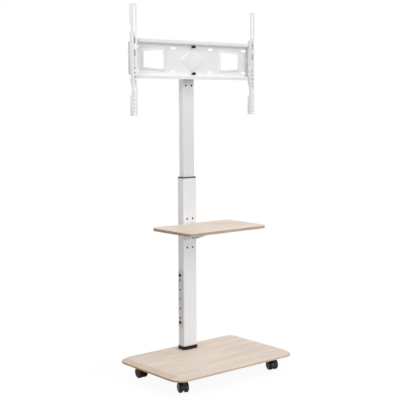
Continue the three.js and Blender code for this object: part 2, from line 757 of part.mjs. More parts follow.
function buildHead(root) {
  const head = subgroup(root, 0, lipFrontY, headHeight);
  piece(head, "head_plate", headPlateGeometry(), "whiteSteel");
  const saddleFront = headDepth + seatGap;
  const saddleDepth = innerFrontY - lipFrontY - saddleFront - seatGap;
  const section = bentStrip(
    [
      [-saddleWidth / 2, saddleDepth],
      [-saddleWidth / 2, 0],
      [saddleWidth / 2, 0],
      [saddleWidth / 2, saddleDepth],
    ],
    saddleWall,
    bendRadius,
  );
  const boltHoles = [-1, 1].map((side) =>
    rodY(headBoltRadius + holePlay, 2 * (saddleWall + overrun)).translate(0, 0, (side * headBoltSpan) / 2),
  );
  const saddle = cut(prismZ(section, saddleTall).translate(0, 0, -saddleTall / 2), ...boltHoles);
  piece(head, "head_saddle", saddle, "whiteSteel", 0, saddleFront, 0);
  const grip = sheet + saddleWall + 2 * seatGap;
  const heights = { upper: headBoltSpan / 2, lower: -headBoltSpan / 2 };
  const boltLength = grip + headNutHeight + headBoltTail;
  const neck = { radius: headBoltNeckRadius, height: headBoltNeckHeight };
  for (const [name, z] of Object.entries(heights)) {
    const bolt = screw(headBoltRadius, boltLength, headBoltHeadRadius, headBoltHeadHeight, neck);
    const mesh = piece(head, `head_bolt_${name}`, bolt, "blackSteel", 0, headDepth - sheet - seatGap, z);
    mesh.rotation.z = Math.PI;
    const blank = new THREE.CylinderGeometry(headNutRadius, headNutRadius, headNutHeight, holeFacets / 2);
    const nut = cut(blank, rodY(headBoltRadius + turnGap, 2 * headNutHeight));
    const nutY = saddleFront + saddleWall + seatGap + headNutHeight / 2;
    piece(head, `head_nut_${name}`, nut, "zincSteel", 0, nutY, z);
  }
}

// Screen arm: a channel whose webs hook over the plate's upper lip and stand on its lower one
function armGeometry() {
  const length = armLength;
  const web = roundedOutline(
    [
      [0, 0],
      [armDepth, 0],
      [armDepth, armLowerNeck],
      [armNeckDepth, armLowerNeck],
      [armNeckDepth, armLowerNeck + armNeckLength],
      [armDepth, armLowerNeck + armNeckLength + armNeckSlope],
      [armDepth, armUpperNeck],
      [armNeckDepth, armUpperNeck],
      [armNeckDepth, armUpperNeck + armNeckLength],
      [armDepth, armUpperNeck + armNeckLength],
      [armDepth, length],
      [0, length],
    ],
    [0, armEndCorner, sheet, sheet, sheet, sheet, sheet, sheet, sheet, sheet, armEndCorner, 0],
  );
  const block = prismX(web, armWidth).translate(-armWidth / 2, 0, 0);
  const channel = prismZ(
    rectangle(armWidth - 2 * sheet, 2 * (armDepth - sheet), sheet / 2),
    length + 2 * overrun,
  ).translate(0, armDepth, -overrun);
  const lipRoom = [armStandoff - armHookGap, armStandoff + sheet + armHookGap];
  const plateMid = armDrop;
  const hookSlot = new THREE.BoxGeometry(
    armWidth + 2 * overrun,
    lipRoom[1] - lipRoom[0],
    headLip + sheet + 2 * armHookGap,
  );
  hookSlot.translate(0, (lipRoom[0] + lipRoom[1]) / 2, plateMid + headTall / 2 - (headLip + sheet) / 2);
  const wallSlot = (side) =>
    new THREE.BoxGeometry(armWidth + 2 * overrun, armDepth, sheet + 2 * armHookGap).translate(
      0,
      lipRoom[0] + armDepth / 2,
      plateMid + side * (wallTopZ - sheet / 2),
    );
  const toeSlot = new THREE.BoxGeometry(armWidth + 2 * overrun, armDepth, headLip + 2 * armHookGap).translate(
    0,
    lipRoom[0] + armDepth / 2,
    plateMid - headTall / 2 + headLip / 2,
  );
  const endRow = Array.from({ length: armEndHoles }, (_, k) => armEndMargin + k * armHolePitch);
  const holeHeights = [
    ...endRow,
    ...endRow.slice(0, 2).map((z) => length - z),
    ...armMidHoleShares.map((share) => share * length),
  ];
  const holes = holeHeights.map((z) => rodY(armHoleRadius, 4 * sheet).translate(0, 0, z));
  const screwHole = rodY(armScrewRadius + holePlay, 4 * sheet).translate(0, 0, armScrewZ());
  const slots = armSlotCentreShares.map((share) =>
    prismY(slotOutline(armSlotLength, armSlotWidth), 4 * sheet, holeFacets / 4)
      .translate(0, -2 * sheet, 0)
      .rotateY(Math.PI / 2)
      .translate(0, 0, share * length),
  );
  return cut(block, channel, hookSlot, wallSlot(1), wallSlot(-1), toeSlot, screwHole, ...holes, ...slots);
}

// Height of the arm's securing screw, opposite the middle of the plate's lower lip
function armScrewZ() {
  return armDrop - headTall / 2 + headLip / 2;
}

function buildArm(root, name, side) {
  const arm = subgroup(root, side * armCentreX, armFaceY, headHeight - armDrop);
  piece(arm, `arm_${name}`, armGeometry(), "whiteSteel");
  const reach = armStandoff - seatGap;
  const lock = screw(armScrewRadius, reach, armScrewHeadRadius, armScrewHeadHeight);
  const mesh = piece(arm, `arm_screw_${name}`, lock, "zincSteel", 0, -seatGap, armScrewZ());
  mesh.rotation.z = Math.PI;
}

// Shelf bracket: a back plate on the column, two tapered gussets and the flanges under the board
function bracketGeometry() {
  const gusset = roundedOutline(
    [
      [0, 0],
      [0, -bracketTall],
      [-bracketHeel, -bracketTall],
      [-bracketReach, -bracketToe],
      [-bracketReach, 0],
    ],
    [0, 0, bracketCorner, bracketCorner / 2, 0],
  );
  const sides = [-1, 1].map((side) =>
    prismX(gusset, bracketWall).translate(side > 0 ? bracketWidth / 2 - bracketWall : -bracketWidth / 2, 0, 0),
  );
  const back = prismY(rectangle(bracketWidth, bracketTall), bracketWall).translate(
    0,
    -bracketWall,
    -bracketTall / 2,
  );
  const flange = rectangle(bracketFlange + bracketWall, bracketReach);
  const flanges = [-1, 1].map((side) =>
    prismZ(flange, bracketWall).translate(
      side * (bracketWidth / 2 + (bracketFlange - bracketWall) / 2),
      -bracketReach / 2,
      -bracketWall,
    ),
  );
  const woodHoles = woodScrewPlaces().map(([x, y]) =>
    rodZ(woodScrewRadius + holePlay, 4 * bracketWall).translate(x, y, 0),
  );
  const columnHoles = columnScrewPlaces().map(([x, z]) =>
    rodY(shelfScrewRadius + holePlay, 4 * bracketWall).translate(x, 0, z),
  );
  return cut(joined(back, ...sides, ...flanges), ...woodHoles, ...columnHoles);
}

// Where the wood screws pass the flanges, from the bracket's back
function woodScrewPlaces() {
  const x = bracketWidth / 2 + bracketFlange / 2;
  const rows = [woodScrewNearShare * bracketReach, woodScrewFarShare * bracketReach];
  return rows.flatMap((y) => [[-x, -y], [x, -y]]);
}

// Where the column screws pass the back plate, from the shelf's underside
function columnScrewPlaces() {
  const upper = shelfUpperRowZ - shelfUnderZ;
  return [upper, upper - holePitch].flatMap((z) => [[-holeSpan / 2, z], [holeSpan / 2, z]]);
}

function buildShelf(root) {
  const shelf = subgroup(root, 0, columnSetback, shelfUnderZ);
  const board = softPlate(shelfWidth, shelfDepth, shelfCorner, shelfThickness, shelfBevel);
  const boardY = -shelfBackGap - shelfDepth / 2;
  const bracketY = -seatGap;
  const pilotHoles = woodScrewPlaces().map(([x, y]) =>
    rodZ(woodScrewRadius + holePlay, 2 * (woodScrewBite + seatGap)).translate(x, y + bracketY - boardY, 0),
  );
  piece(shelf, "shelf_board", cut(board, ...pilotHoles), "paleWood", 0, boardY, 0);
  piece(shelf, "shelf_bracket", bracketGeometry(), "whiteSteel", 0, bracketY, -seatGap);
  woodScrewPlaces().forEach(([x, y], k) => {
    const reach = woodScrewBite + bracketWall + seatGap;
    const wood = screw(woodScrewRadius, reach, woodScrewHeadRadius, woodScrewHeadHeight);
    const z = -bracketWall - 2 * seatGap;
    const mesh = piece(shelf, `shelf_wood_screw_${k + 1}`, wood, "zincSteel", x, bracketY + y, z);
    mesh.rotation.x = -Math.PI / 2;
  });
  columnScrewPlaces().forEach(([x, z], k) => {
    const clamp = screw(shelfScrewRadius, bracketWall + seatGap, shelfScrewHeadRadius, shelfScrewHeadHeight);
    const y = bracketY - bracketWall - seatGap;
    const mesh = piece(shelf, `shelf_column_screw_${k + 1}`, clamp, "blackSteel", x, y, z - seatGap);
    mesh.rotation.z = Math.PI;
  });
}

const stand = new THREE.Group();
buildBase(stand);
buildColumn(stand);
["front_left", "front_right", "rear_left", "rear_right"].forEach((place, k) =>
  buildCaster(stand, place, ...corners[k]),
);
buildInnerColumn(stand);
buildHead(stand);
buildArm(stand, "left", -1);
buildArm(stand, "right", 1);
buildShelf(stand);

export default stand;
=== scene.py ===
"""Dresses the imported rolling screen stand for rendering.

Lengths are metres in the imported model's own frame: +Z up, +Y to the back, the origin on the floor
under the middle of the base board. Sizes that a workshop would give in millimetres are written with MM.
"""

import json
import logging
import math
from collections.abc import Iterable, Sequence
from dataclasses import KW_ONLY, dataclass
from enum import Enum
from functools import cache

import bmesh
import bpy
from bmesh.types import BMEdge, BMesh, BMFace, BMVert
from bpy.types import Camera, Light, Material, Mesh, Node, NodeSocket, NodeTree, Object, World
from mathutils import Matrix, Vector


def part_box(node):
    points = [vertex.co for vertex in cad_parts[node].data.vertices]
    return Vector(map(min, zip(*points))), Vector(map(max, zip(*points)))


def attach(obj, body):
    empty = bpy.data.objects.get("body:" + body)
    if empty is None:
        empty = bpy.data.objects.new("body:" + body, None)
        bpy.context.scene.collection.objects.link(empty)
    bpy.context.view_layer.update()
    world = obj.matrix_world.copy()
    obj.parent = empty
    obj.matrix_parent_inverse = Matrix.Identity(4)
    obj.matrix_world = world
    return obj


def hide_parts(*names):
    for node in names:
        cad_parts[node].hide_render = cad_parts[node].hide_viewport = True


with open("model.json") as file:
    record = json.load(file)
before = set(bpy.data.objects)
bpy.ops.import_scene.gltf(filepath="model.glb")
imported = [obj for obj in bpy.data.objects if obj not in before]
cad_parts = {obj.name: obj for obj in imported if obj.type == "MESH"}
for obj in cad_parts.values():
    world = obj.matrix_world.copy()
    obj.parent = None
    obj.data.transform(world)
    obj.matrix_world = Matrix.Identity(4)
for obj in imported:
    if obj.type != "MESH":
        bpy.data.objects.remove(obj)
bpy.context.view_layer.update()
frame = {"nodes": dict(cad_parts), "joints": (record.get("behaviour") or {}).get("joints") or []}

log = logging.getLogger("stand")

MM = 0.001
QUARTER_TURN = math.pi / 2
Colour = tuple[int, int, int]
Point = tuple[float, float]
Place = tuple[float, float, float]
Geometry = Iterable[BMVert | BMEdge | BMFace]
Inputs = dict[str | int, object]
Shader = tuple[str, Inputs]


class Side(Enum):
    """Left and right as seen from the front, with their sign along X."""

    LEFT = -1
    RIGHT = 1

    @property
    def word(self) -> str:
        """The side's word in node names."""
        return self.name.lower()


class Slot(Enum):
    """The record's material slots."""

    WHITE_STEEL = "white_steel"
    ZINC_STEEL = "zinc_steel"
    BLACK_STEEL = "black_steel"
    BLACK_PLASTIC = "black_plastic"
    GREY_PLASTIC = "grey_plastic"
    PALE_WOOD = "pale_wood"


class Facing(Enum):
    """The way a screw's head or a drill points, as the turn that brings it there from pointing up."""

    FRONT = (QUARTER_TURN, "X")
    BACK = (-QUARTER_TURN, "X")
    LEFT = (-QUARTER_TURN, "Y")
    RIGHT = (QUARTER_TURN, "Y")
    DOWN = (math.pi, "X")

    @property
    def turn(self) -> Matrix:
        """The rotation matrix of that turn."""
        angle, axis = self.value
        return Matrix.Rotation(angle, 4, axis)


def stand(name: str, data: Mesh | Light | Camera) -> Object:
    """Puts a new object into the scene.

    Args:
        name: its name.
        data: what it holds.

    Returns:
        The object.
    """
    made = bpy.data.objects.new(name, data)
    bpy.context.scene.collection.objects.link(made)
    return made


# Shader nodes


def linear(colour: Colour) -> tuple[float, ...]:
    """Turns a screen colour of 0 to 255 into linear light by the usual screen curve, with a full alpha."""
    shares = [channel / 255 for channel in colour]
    return (*(s / 12.92 if s <= 0.04045 else ((s + 0.055) / 1.055) ** 2.4 for s in shares), 1.0)


def feed(node: Node, inputs: Inputs) -> None:
    """Fills inputs of a node.

    Args:
        node: the node.
        inputs: by name or number, the value of each input or the socket that it is joined to.
    """
    for key, value in inputs.items():
        if isinstance(value, NodeSocket):
            node.id_data.links.new(value, node.inputs[key])
        else:
            node.inputs[key].default_value = value


def add_node(tree: NodeTree, kind: str, inputs: Inputs, **options: str) -> NodeSocket:
    """Adds a shader node.

    Args:
        tree: the tree that gets it.
        kind: its type, without the words that all shader nodes share.
        inputs: what fills its inputs.
        options: its settings, which come before its inputs.

    Returns:
        The first of its outputs that is in use.
    """
    node = tree.nodes.new(f"ShaderNode{kind}")
    for name, value in options.items():
        setattr(node, name, value)
    feed(node, inputs)
    return next(output for output in node.outputs if output.enabled)


class ShaderGroups:
    """The node groups that several finishes share, each built once."""

    NUMBER = "NodeSocketFloat"
    SHADE = "NodeSocketColor"

    @classmethod
    def begin(cls, name: str, shades: Sequence[str], numbers: Sequence[str]) -> tuple[NodeTree, NodeSocket]:
        """Makes a group with its named inputs and the outputs that all groups have.

        Args:
            name: the group's name.
            shades: the inputs that are colours.
            numbers: the inputs that are numbers.

        Returns:
            The group's tree, and the socket with the place on the object.
        """
        tree = bpy.data.node_groups.new(name, "ShaderNodeTree")
        inputs = dict.fromkeys(shades, cls.SHADE) | dict.fromkeys(numbers, cls.NUMBER)
        outputs = {"Colour": cls.SHADE, "Roughness": cls.NUMBER, "Height": cls.NUMBER}
        for way, sockets in (("INPUT", inputs), ("OUTPUT", outputs)):
            for label, kind in sockets.items():
                tree.interface.new_socket(name=label, in_out=way, socket_type=kind)
        return tree, tree.nodes.new("ShaderNodeTexCoord").outputs["Object"]

    @classmethod
    @cache
    def mottle(cls) -> NodeTree:
        """Makes slight clouds of tone and gloss and a fine pebbled height, as on coated or moulded parts.

        Returns:
            The group's tree.
        """
        tree, place = cls.begin(
            "coat_mottle", ("Tone", "Shadow Tone"), ("Gloss", "Gloss Spread", "Cloud Scale", "Pebble Scale")
        )
        enter = tree.nodes.new("NodeGroupInput").outputs
        cloud = add_node(tree, "TexNoise", {"Vector": place, "Scale": enter["Cloud Scale"], "Detail": 3.0})
        tones = {"Factor": cloud, "A": enter["Tone"], "B": enter["Shadow Tone"]}
        gloss = {0: cloud, 1: enter["Gloss Spread"], 2: enter["Gloss"]}
        pebble = {"Vector": place, "Scale": enter["Pebble Scale"], "Detail": 2.0}
        feed(tree.nodes.new("NodeGroupOutput"), {
            "Colour": add_node(tree, "Mix", tones, data_type="RGBA"),
            "Roughness": add_node(tree, "Math", gloss, operation="MULTIPLY_ADD"),
            "Height": add_node(tree, "TexNoise", pebble),
        })
        return tree

    @classmethod
    @cache
    def grain(cls) -> NodeTree:
        """Makes long wood streaks along X with fine pores, for the laminate of both boards.

        Returns:
            The group's tree.
        """
        tree, place = cls.begin("laminate_grain", ("Light", "Dark", "Pore"), ("Streaks", "Pores"))
        enter = tree.nodes.new("NodeGroupInput").outputs

        def streaks(along: float, scale: str, detail: float) -> NodeSocket:
            """Adds a noise that is drawn out along X.

            Args:
                along: its scale along X, as a share of that across.
                scale: the group input with its scale across.
                detail: its detail.

            Returns:
                Its socket.
            """
            drawn = add_node(tree, "Mapping", {"Vector": place, "Scale": (along, 1.0, 1.0)})
            noise = {"Vector": drawn, "Scale": enter[scale], "Detail": detail, "Distortion": 0.35}
            return add_node(tree, "TexNoise", noise)

        wide, fine = streaks(0.12, "Streaks", 6.0), streaks(0.04, "Pores", 3.0)
        spread = add_node(tree, "MapRange", {"Value": wide, "From Min": 0.32, "From Max": 0.68})
        pores = add_node(
            tree, "MapRange", {"Value": fine, "From Min": 0.56, "From Max": 0.72, "To Max": 0.55}
        )
        tones = {"Factor": spread, "A": enter["Light"], "B": enter["Dark"]}
        body = add_node(tree, "Mix", tones, data_type="RGBA")
        tones = {"Factor": pores, "A": body, "B": enter["Pore"]}
        feed(tree.nodes.new("NodeGroupOutput"), {
            "Colour": add_node(tree, "Mix", tones, data_type="RGBA"),
            "Roughness": add_node(tree, "MapRange", {"Value": fine, "To Min": 0.42, "To Max": 0.6}),
            "Height": fine,
        })
        return tree


# Finishes


@dataclass(frozen=True)
class Finish:
    """A finish made by one shader group, a bump and a Principled shader."""

    name: str
    slot: Slot
    _: KW_ONLY
    bump: float = 0.25
    bump_distance: float = 0.05 * MM

    @cache
    def material(self) -> Material:
        """Makes the finish's material at the first call.

        Returns:
            The material.
        """
        made = bpy.data.materials.new(self.name)
        made.use_nodes = True
        tree = made.node_tree
        shader = tree.nodes["Principled BSDF"]
        group = tree.nodes.new("ShaderNodeGroup")
        self.fill(group, shader)
        surface = group.outputs
        bump = {"Strength": self.bump, "Distance": self.bump_distance, "Height": surface["Height"]}
        feed(shader, {
            "Base Color": surface["Colour"], "Roughness": surface["Roughness"],
            "Normal": add_node(tree, "Bump", bump),
        })
        return made

    def fill(self, group: Node, shader: Node) -> None:
        """Sets the tree and values of the group node, and the plain sockets of the Principled shader."""
        raise NotImplementedError


@dataclass(frozen=True)
class Coat(Finish):
    """Powder coat, plating, oxide or moulded plastic: one tone with slight clouds and pebbling."""

    tone: Colour
    shadow: Colour
    roughness: float
    _: KW_ONLY
    spread: float = 0.08
    clouds: float = 9.0
    pebbles: float = 900.0
    metallic: float = 0.0
    coat: float = 0.0
    specular: float = 0.5

    def fill(self, group: Node, shader: Node) -> None:
        """Uses the mottle group with this coat's values.

        Args:
            group: the material's group node.
            shader: its Principled shader.
        """
        group.node_tree = ShaderGroups.mottle()
        feed(group, {
            "Tone": linear(self.tone), "Shadow Tone": linear(self.shadow), "Gloss": self.roughness,
            "Gloss Spread": self.spread, "Cloud Scale": self.clouds, "Pebble Scale": self.pebbles,
        })
        feed(shader, {
            "Metallic": self.metallic, "Coat Weight": self.coat, "Coat Roughness": 0.2,
            "Specular IOR Level": self.specular,
        })


@dataclass(frozen=True)
class Laminate(Finish):
    """Wood-grain laminate with streaks along X."""

    light: Colour
    dark: Colour
    pore: Colour
    _: KW_ONLY
    bump: float = 0.15
    bump_distance: float = 0.06 * MM
    streaks: float = 60.0
    pores: float = 420.0

    def fill(self, group: Node, shader: Node) -> None:
        """Uses the grain group with this laminate's values.

        Args:
            group: the material's group node.
            shader: its Principled shader.
        """
        group.node_tree = ShaderGroups.grain()
        feed(group, {
            "Light": linear(self.light), "Dark": linear(self.dark), "Pore": linear(self.pore),
            "Streaks": self.streaks, "Pores": self.pores,
        })
        feed(shader, {"Specular IOR Level": 0.4})


WHITE_COAT = Coat("white_powder_coat", Slot.WHITE_STEEL, (239, 240, 242), (235, 236, 238), 0.42)
# Painted light: lighter copies of the white coat for the head plate and the arms, standing in for more light
# on the head.
HEAD_PAINTED_LIGHT_COAT = Coat("head_powder_coat_painted_light", Slot.WHITE_STEEL, (243, 243, 243), (239, 239, 239), 0.42)
ARM_PAINTED_LIGHT_COAT = Coat("arm_powder_coat", Slot.WHITE_STEEL, (246, 246, 246), (243, 243, 243), 0.42)
STRIP_COAT = Coat("strip_coat", Slot.WHITE_STEEL, (220, 221, 223), (215, 216, 218), 0.42)
# Painted shade: a darker copy of the strip's coat for its cut edges, standing in for the shadow along the
# strip's edge.
PAINTED_STRIP_RIM_SHADE = Coat("strip_rim_painted_shade", Slot.WHITE_STEEL, (164, 165, 167), (154, 155, 157), 0.5, specular=0.3)
ZINC = Coat(
    "zinc_plating", Slot.ZINC_STEEL, (186, 189, 193), (168, 171, 176), 0.3,
    bump=0.2, spread=0.14, clouds=70.0, metallic=1.0,
)
BRIGHT_ZINC = Coat(
    "bright_zinc", Slot.ZINC_STEEL, (226, 228, 231), (214, 217, 221), 0.4,
    bump=0.2, clouds=70.0, metallic=0.35,
)
BLACK_OXIDE = Coat(
    "black_oxide", Slot.BLACK_STEEL, (20, 20, 22), (13, 13, 15), 0.36,
    bump=0.3, clouds=120.0, metallic=0.2, specular=0.25,
)
BLACK_MOULD = Coat(
    "black_moulding", Slot.BLACK_PLASTIC, (12, 13, 15), (8, 9, 11), 0.24,
    bump=0.3, bump_distance=0.06 * MM, clouds=30.0, pebbles=1400.0, specular=0.34,
)
GREY_MOULD = Coat(
    "grey_moulding", Slot.GREY_PLASTIC, (84, 86, 89), (72, 74, 77), 0.38,
    bump=0.3, bump_distance=0.08 * MM, clouds=30.0, pebbles=1400.0, coat=0.1,
)
WHEEL_MOULD = Coat(
    "wheel_moulding", Slot.GREY_PLASTIC, (24, 25, 28), (16, 17, 19), 0.3,
    bump_distance=0.06 * MM, clouds=30.0, pebbles=1400.0, specular=0.24,
)
TREAD = Coat(
    "wheel_tread", Slot.GREY_PLASTIC, (12, 12, 13), (8, 8, 9), 0.55,
    bump=0.5, bump_distance=0.1 * MM, spread=0.12, clouds=45.0, pebbles=1100.0, specular=0.1,
)
# Painted shade: near-black for the walls of drilled holes and for discs set inside them, standing in for the
# shadow deep in a hole.
PAINTED_HOLE_SHADE = Coat("painted_hole_shade", Slot.BLACK_STEEL, (4, 4, 4), (2, 2, 2), 0.9, bump=0.1, specular=0.0)
BOARD_FACE = Laminate(
    "laminate_face", Slot.PALE_WOOD, (252, 238, 224), (237, 216, 199), (221, 196, 174),
    bump=0.12, streaks=34.0,
)
BOARD_CHAMFER = Laminate(
    "laminate_chamfer", Slot.PALE_WOOD, (240, 224, 209), (230, 210, 194), (216, 194, 175),
    bump=0.12, streaks=34.0,
)
# Painted shade: a warmer copy of the chamfer laminate on both ends, standing in for the shade on the left end.
PAINTED_SHADE_CHAMFER_END = Laminate(
    "laminate_chamfer_end_painted_shade", Slot.PALE_WOOD, (243, 223, 204), (233, 209, 188), (218, 193, 170),
    bump=0.12, streaks=34.0,
)
BASE_EDGE = Laminate("laminate_base_edge", Slot.PALE_WOOD, (216, 196, 178), (201, 180, 161), (181, 159, 139))
# Painted shade: a darker, browner copy of the base edge on both ends, standing in for the shade on the left
# end.
PAINTED_SHADE_BASE_END = Laminate("laminate_base_end_painted_shade", Slot.PALE_WOOD, (206, 168, 133), (188, 150, 115), (162, 124, 89))
BOARD_EDGE = Laminate("laminate_edge", Slot.PALE_WOOD, (204, 183, 164), (186, 163, 142), (168, 143, 121))
# Painted shade: a darker, browner copy of the shelf edge on both ends, standing in for the shade on the left
# end.
PAINTED_SHADE_BOARD_END = Laminate("laminate_end_painted_shade", Slot.PALE_WOOD, (194, 163, 137), (175, 142, 116), (152, 119, 92))


# Mesh work

SMOOTH_DEGREES = 35.0
DRILL_LENGTH = 12 * MM
# The painted-shade discs in holes: their thickness, and how far their middle lies inside the wall's face.
PAINTED_SHADE_THICKNESS = 0.3 * MM
PAINTED_SHADE_DEPTH = 0.3 * MM


class Blank:
    """The mesh of one piece or cutter while it is being shaped.

    Points closer than SAME_POINT are merged in a turned shape, and SAME_CORNER in a packed copy, whose
    faces become one within SAME_PLANE_DEGREES.
    """

    SAME_POINT = 1e-6
    SAME_CORNER = 3e-6
    SAME_PLANE_DEGREES = 0.6

    def __init__(self) -> None:
        """Starts with an empty mesh."""
        self.bm: BMesh = bmesh.new()

    @classmethod
    def of_node(cls, node: str) -> "Blank":
        """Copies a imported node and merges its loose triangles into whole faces.

        Args:
            node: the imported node.

        Returns:
            The copy.
        """
        copy = cls()
        bm = copy.bm
        bm.from_mesh(frame["nodes"][node].data)
        bmesh.ops.remove_doubles(bm, verts=bm.verts, dist=cls.SAME_CORNER)
        same = math.radians(cls.SAME_PLANE_DEGREES)
        bmesh.ops.dissolve_limit(bm, angle_limit=same, verts=bm.verts, edges=bm.edges)
        return copy

    def outline(self, width: float, depth: float, radius: float, steps: int = 8) -> BMFace:
        """Draws a rectangle with rounded corners in the XY plane.

        Args:
            width: size along X.
            depth: size along Y.
            radius: corner radius.
            steps: segments of each corner.

        Returns:
            The face.
        """
        verts = bmesh.ops.create_grid(self.bm, x_segments=1, y_segments=1, size=0.5)["verts"]
        bmesh.ops.scale(self.bm, vec=(width, depth, 1.0), verts=verts)
        bmesh.ops.bevel(
            self.bm, geom=verts, offset=radius, offset_type="OFFSET", segments=steps, profile=0.5,
            affect="VERTICES", material=-1,
        )
        self.bm.faces.ensure_lookup_table()
        return self.bm.faces[-1]

    def shift(self, geometry: Geometry, by: Place) -> None:
        """Moves the vertices among an operator's results."""
        bmesh.ops.translate(self.bm, vec=by, verts=[g for g in geometry if isinstance(g, BMVert)])

    def raised(self, faces: Iterable[BMFace], height: float) -> list[BMFace]:
        """Extrudes faces upwards.

        Args:
            faces: the faces to extrude.
            height: how far.

        Returns:
            The faces at the new top.
        """
        made = bmesh.ops.extrude_face_region(self.bm, geom=list(faces))["geom"]
        self.shift(made, (0.0, 0.0, height))
        return [g for g in made if isinstance(g, BMFace)]

    def spin(self, geometry: Geometry, axis: Place, angle: float, steps: int, full: bool = False) -> None:
        """Spins vertices and edges about an axis through the origin.

        Args:
            geometry: the vertices and edges.
            axis: the axis.
            angle: how far they are spun.
            steps: segments of the spin.
            full: whether the last segment meets the first.
        """
        bmesh.ops.spin(
            self.bm, geom=geometry, cent=(0, 0, 0), axis=axis, dvec=(0, 0, 0), angle=angle, steps=steps,
            use_merge=full,
        )

    def lathe(self, profile: Sequence[Point], steps: int = 40) -> None:
        """Spins a profile about Z.

        Args:
            profile: radius and height of each point.
            steps: segments round the axis.
        """
        start = [self.bm.verts.new((radius, 0.0, height)) for radius, height in profile]
        edges = [self.bm.edges.new(pair) for pair in zip(start, start[1:])]
        self.spin(start + edges, (0, 0, 1), 2 * math.pi, steps, full=True)
        bmesh.ops.remove_doubles(self.bm, verts=self.bm.verts, dist=self.SAME_POINT)

    def rod(self, radius: float, length: float, place: Matrix, steps: int = 24, taper: float = 1.0) -> None:
        """Adds a closed cylinder about its own Z.

        Args:
            radius: its radius, at the upper end if it tapers.
            length: its length, centred.
            place: its place.
            steps: its sides.
            taper: the lower end's radius as a share of the upper end's.
        """
        bmesh.ops.create_cone(
            self.bm, cap_ends=True, cap_tris=False, segments=steps, radius1=radius * taper, radius2=radius,
            depth=length, matrix=place,
        )

    def tube(self, width: float, depth: float, radius: float, wall: float, length: float) -> None:
        """Builds a rectangular tube with open ends, standing on z = 0.

        Args:
            width: size along X.
            depth: size along Y.
            radius: outer corner radius.
            wall: wall thickness.
            length: length along Z.
        """
        face = self.outline(width, depth, radius)
        bmesh.ops.inset_region(self.bm, faces=[face], thickness=wall, use_even_offset=True, use_boundary=True)
        bmesh.ops.delete(self.bm, geom=[face], context="FACES_ONLY")
        self.raised(self.bm.faces, length)

    def soften(self, width: float, above: float, steps: int = 2) -> None:
        """Bevels every edge that is sharper than an angle.

        Args:
            width: bevel width.
            above: the angle, in degrees.
            steps: segments of the bevel.
        """
        limit = math.radians(above)
        sharp = [e for e in self.bm.edges if e.is_manifold and e.calc_face_angle(0.0) > limit]
        bmesh.ops.bevel(
            self.bm, geom=sharp, offset=width, offset_type="OFFSET", segments=steps, profile=0.5,
            affect="EDGES", material=-1, clamp_overlap=True,
        )

    def place(self, matrix: Matrix) -> None:
        """Moves the whole mesh by a matrix."""
        bmesh.ops.transform(self.bm, matrix=matrix, verts=self.bm.verts)

    def placed(self, name: str) -> Object:
        """Makes an object of the mesh, with its faces pointing outwards, and frees the mesh.

        Args:
            name: the object's name.

        Returns:
            The object.
        """
        bmesh.ops.recalc_face_normals(self.bm, faces=self.bm.faces)
        mesh = bpy.data.meshes.new(name)
        self.bm.to_mesh(mesh)
        self.bm.free()
        return stand(name, mesh)

    def cutter(self, finish: Finish | None = None) -> Object:
        """Makes a cutting solid of the mesh.

        Args:
            finish: the finish of the faces that it leaves, if it isn't the cut piece's own.

        Returns:
            The cutter.
        """
        made = self.placed("cutter")
        if finish:
            made.data.materials.append(finish.material())
        return made

    def piece(
        self, name: str, finishes: Sequence[Finish], body: str, nodes: Sequence[str] = (),
        smooth: float = SMOOTH_DEGREES,
    ) -> Object:
        """Makes a finished piece of the mesh, which rides on a body and stands for its nodes.

        Args:
            name: the piece's name.
            finishes: the finishes in the order of the faces' material indices.
            body: the body it moves with.
            nodes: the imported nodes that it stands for.
            smooth: edges under this angle, in degrees, are shaded smooth.

        Returns:
            The piece.
        """
        for face in self.bm.faces:
            face.smooth = True
        made = self.placed(name)
        made.data.set_sharp_from_angle(angle=math.radians(smooth))
        for finish in finishes:
            made.data.materials.append(finish.material())
        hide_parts(*nodes)
        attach(made, body)
        log.info("%s: %d faces on %s", name, len(made.data.polygons), body)
        return made


def foot_of(node: str) -> Matrix:
    """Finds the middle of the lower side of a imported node's box, where a shape made on z = 0 is to stand."""
    low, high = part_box(node)
    return Matrix.Translation((low + high) / 2 - Vector((0, 0, (high - low).z / 2)))


def carve(made: Object, cutters: Sequence[Object]) -> None:
    """Cuts solids out of a piece and removes them.

    Args:
        made: the piece.
        cutters: the solids.
    """
    for cutter in cutters:
        step = made.modifiers.new("cut", "BOOLEAN")
        step.operation, step.solver, step.object = "DIFFERENCE", "EXACT", cutter
    bpy.context.view_layer.update()
    graph = bpy.context.evaluated_depsgraph_get()
    mesh = bpy.data.meshes.new_from_object(made.evaluated_get(graph))
    made.modifiers.clear()
    old, made.data = made.data, mesh
    name = old.name
    bpy.data.meshes.remove(old)
    mesh.name = name
    mesh.set_sharp_from_angle(angle=math.radians(SMOOTH_DEGREES))
    for cutter in cutters:
        bpy.data.objects.remove(cutter)


def drill(made: Object, radius: float, places: Sequence[Matrix]) -> None:
    """Drills round holes into a piece, whose walls get the near-black painted shade.

    Args:
        made: the piece.
        radius: the holes' radius.
        places: the middle of each hole, with Z along it.
    """
    cutters = []
    for place in places:
        blank = Blank()
        blank.rod(radius, DRILL_LENGTH, place)
        cutters.append(blank.cutter(PAINTED_HOLE_SHADE))
    carve(made, cutters)


def paint_hole_shade(name: str, body: str, radius: float, places: Sequence[Matrix]) -> None:
    """Sets a thin near-black disc in each of a row of holes, inside the wall's thickness, as painted shade for
    the hole's depth.

    Args:
        name: the piece's name.
        body: the body the discs ride on.
        radius: their radius.
        places: the middle of each disc, with Z through it.
    """
    blank = Blank()
    for place in places:
        blank.rod(radius, PAINTED_SHADE_THICKNESS, place)
    blank.piece(name, [PAINTED_HOLE_SHADE], body)


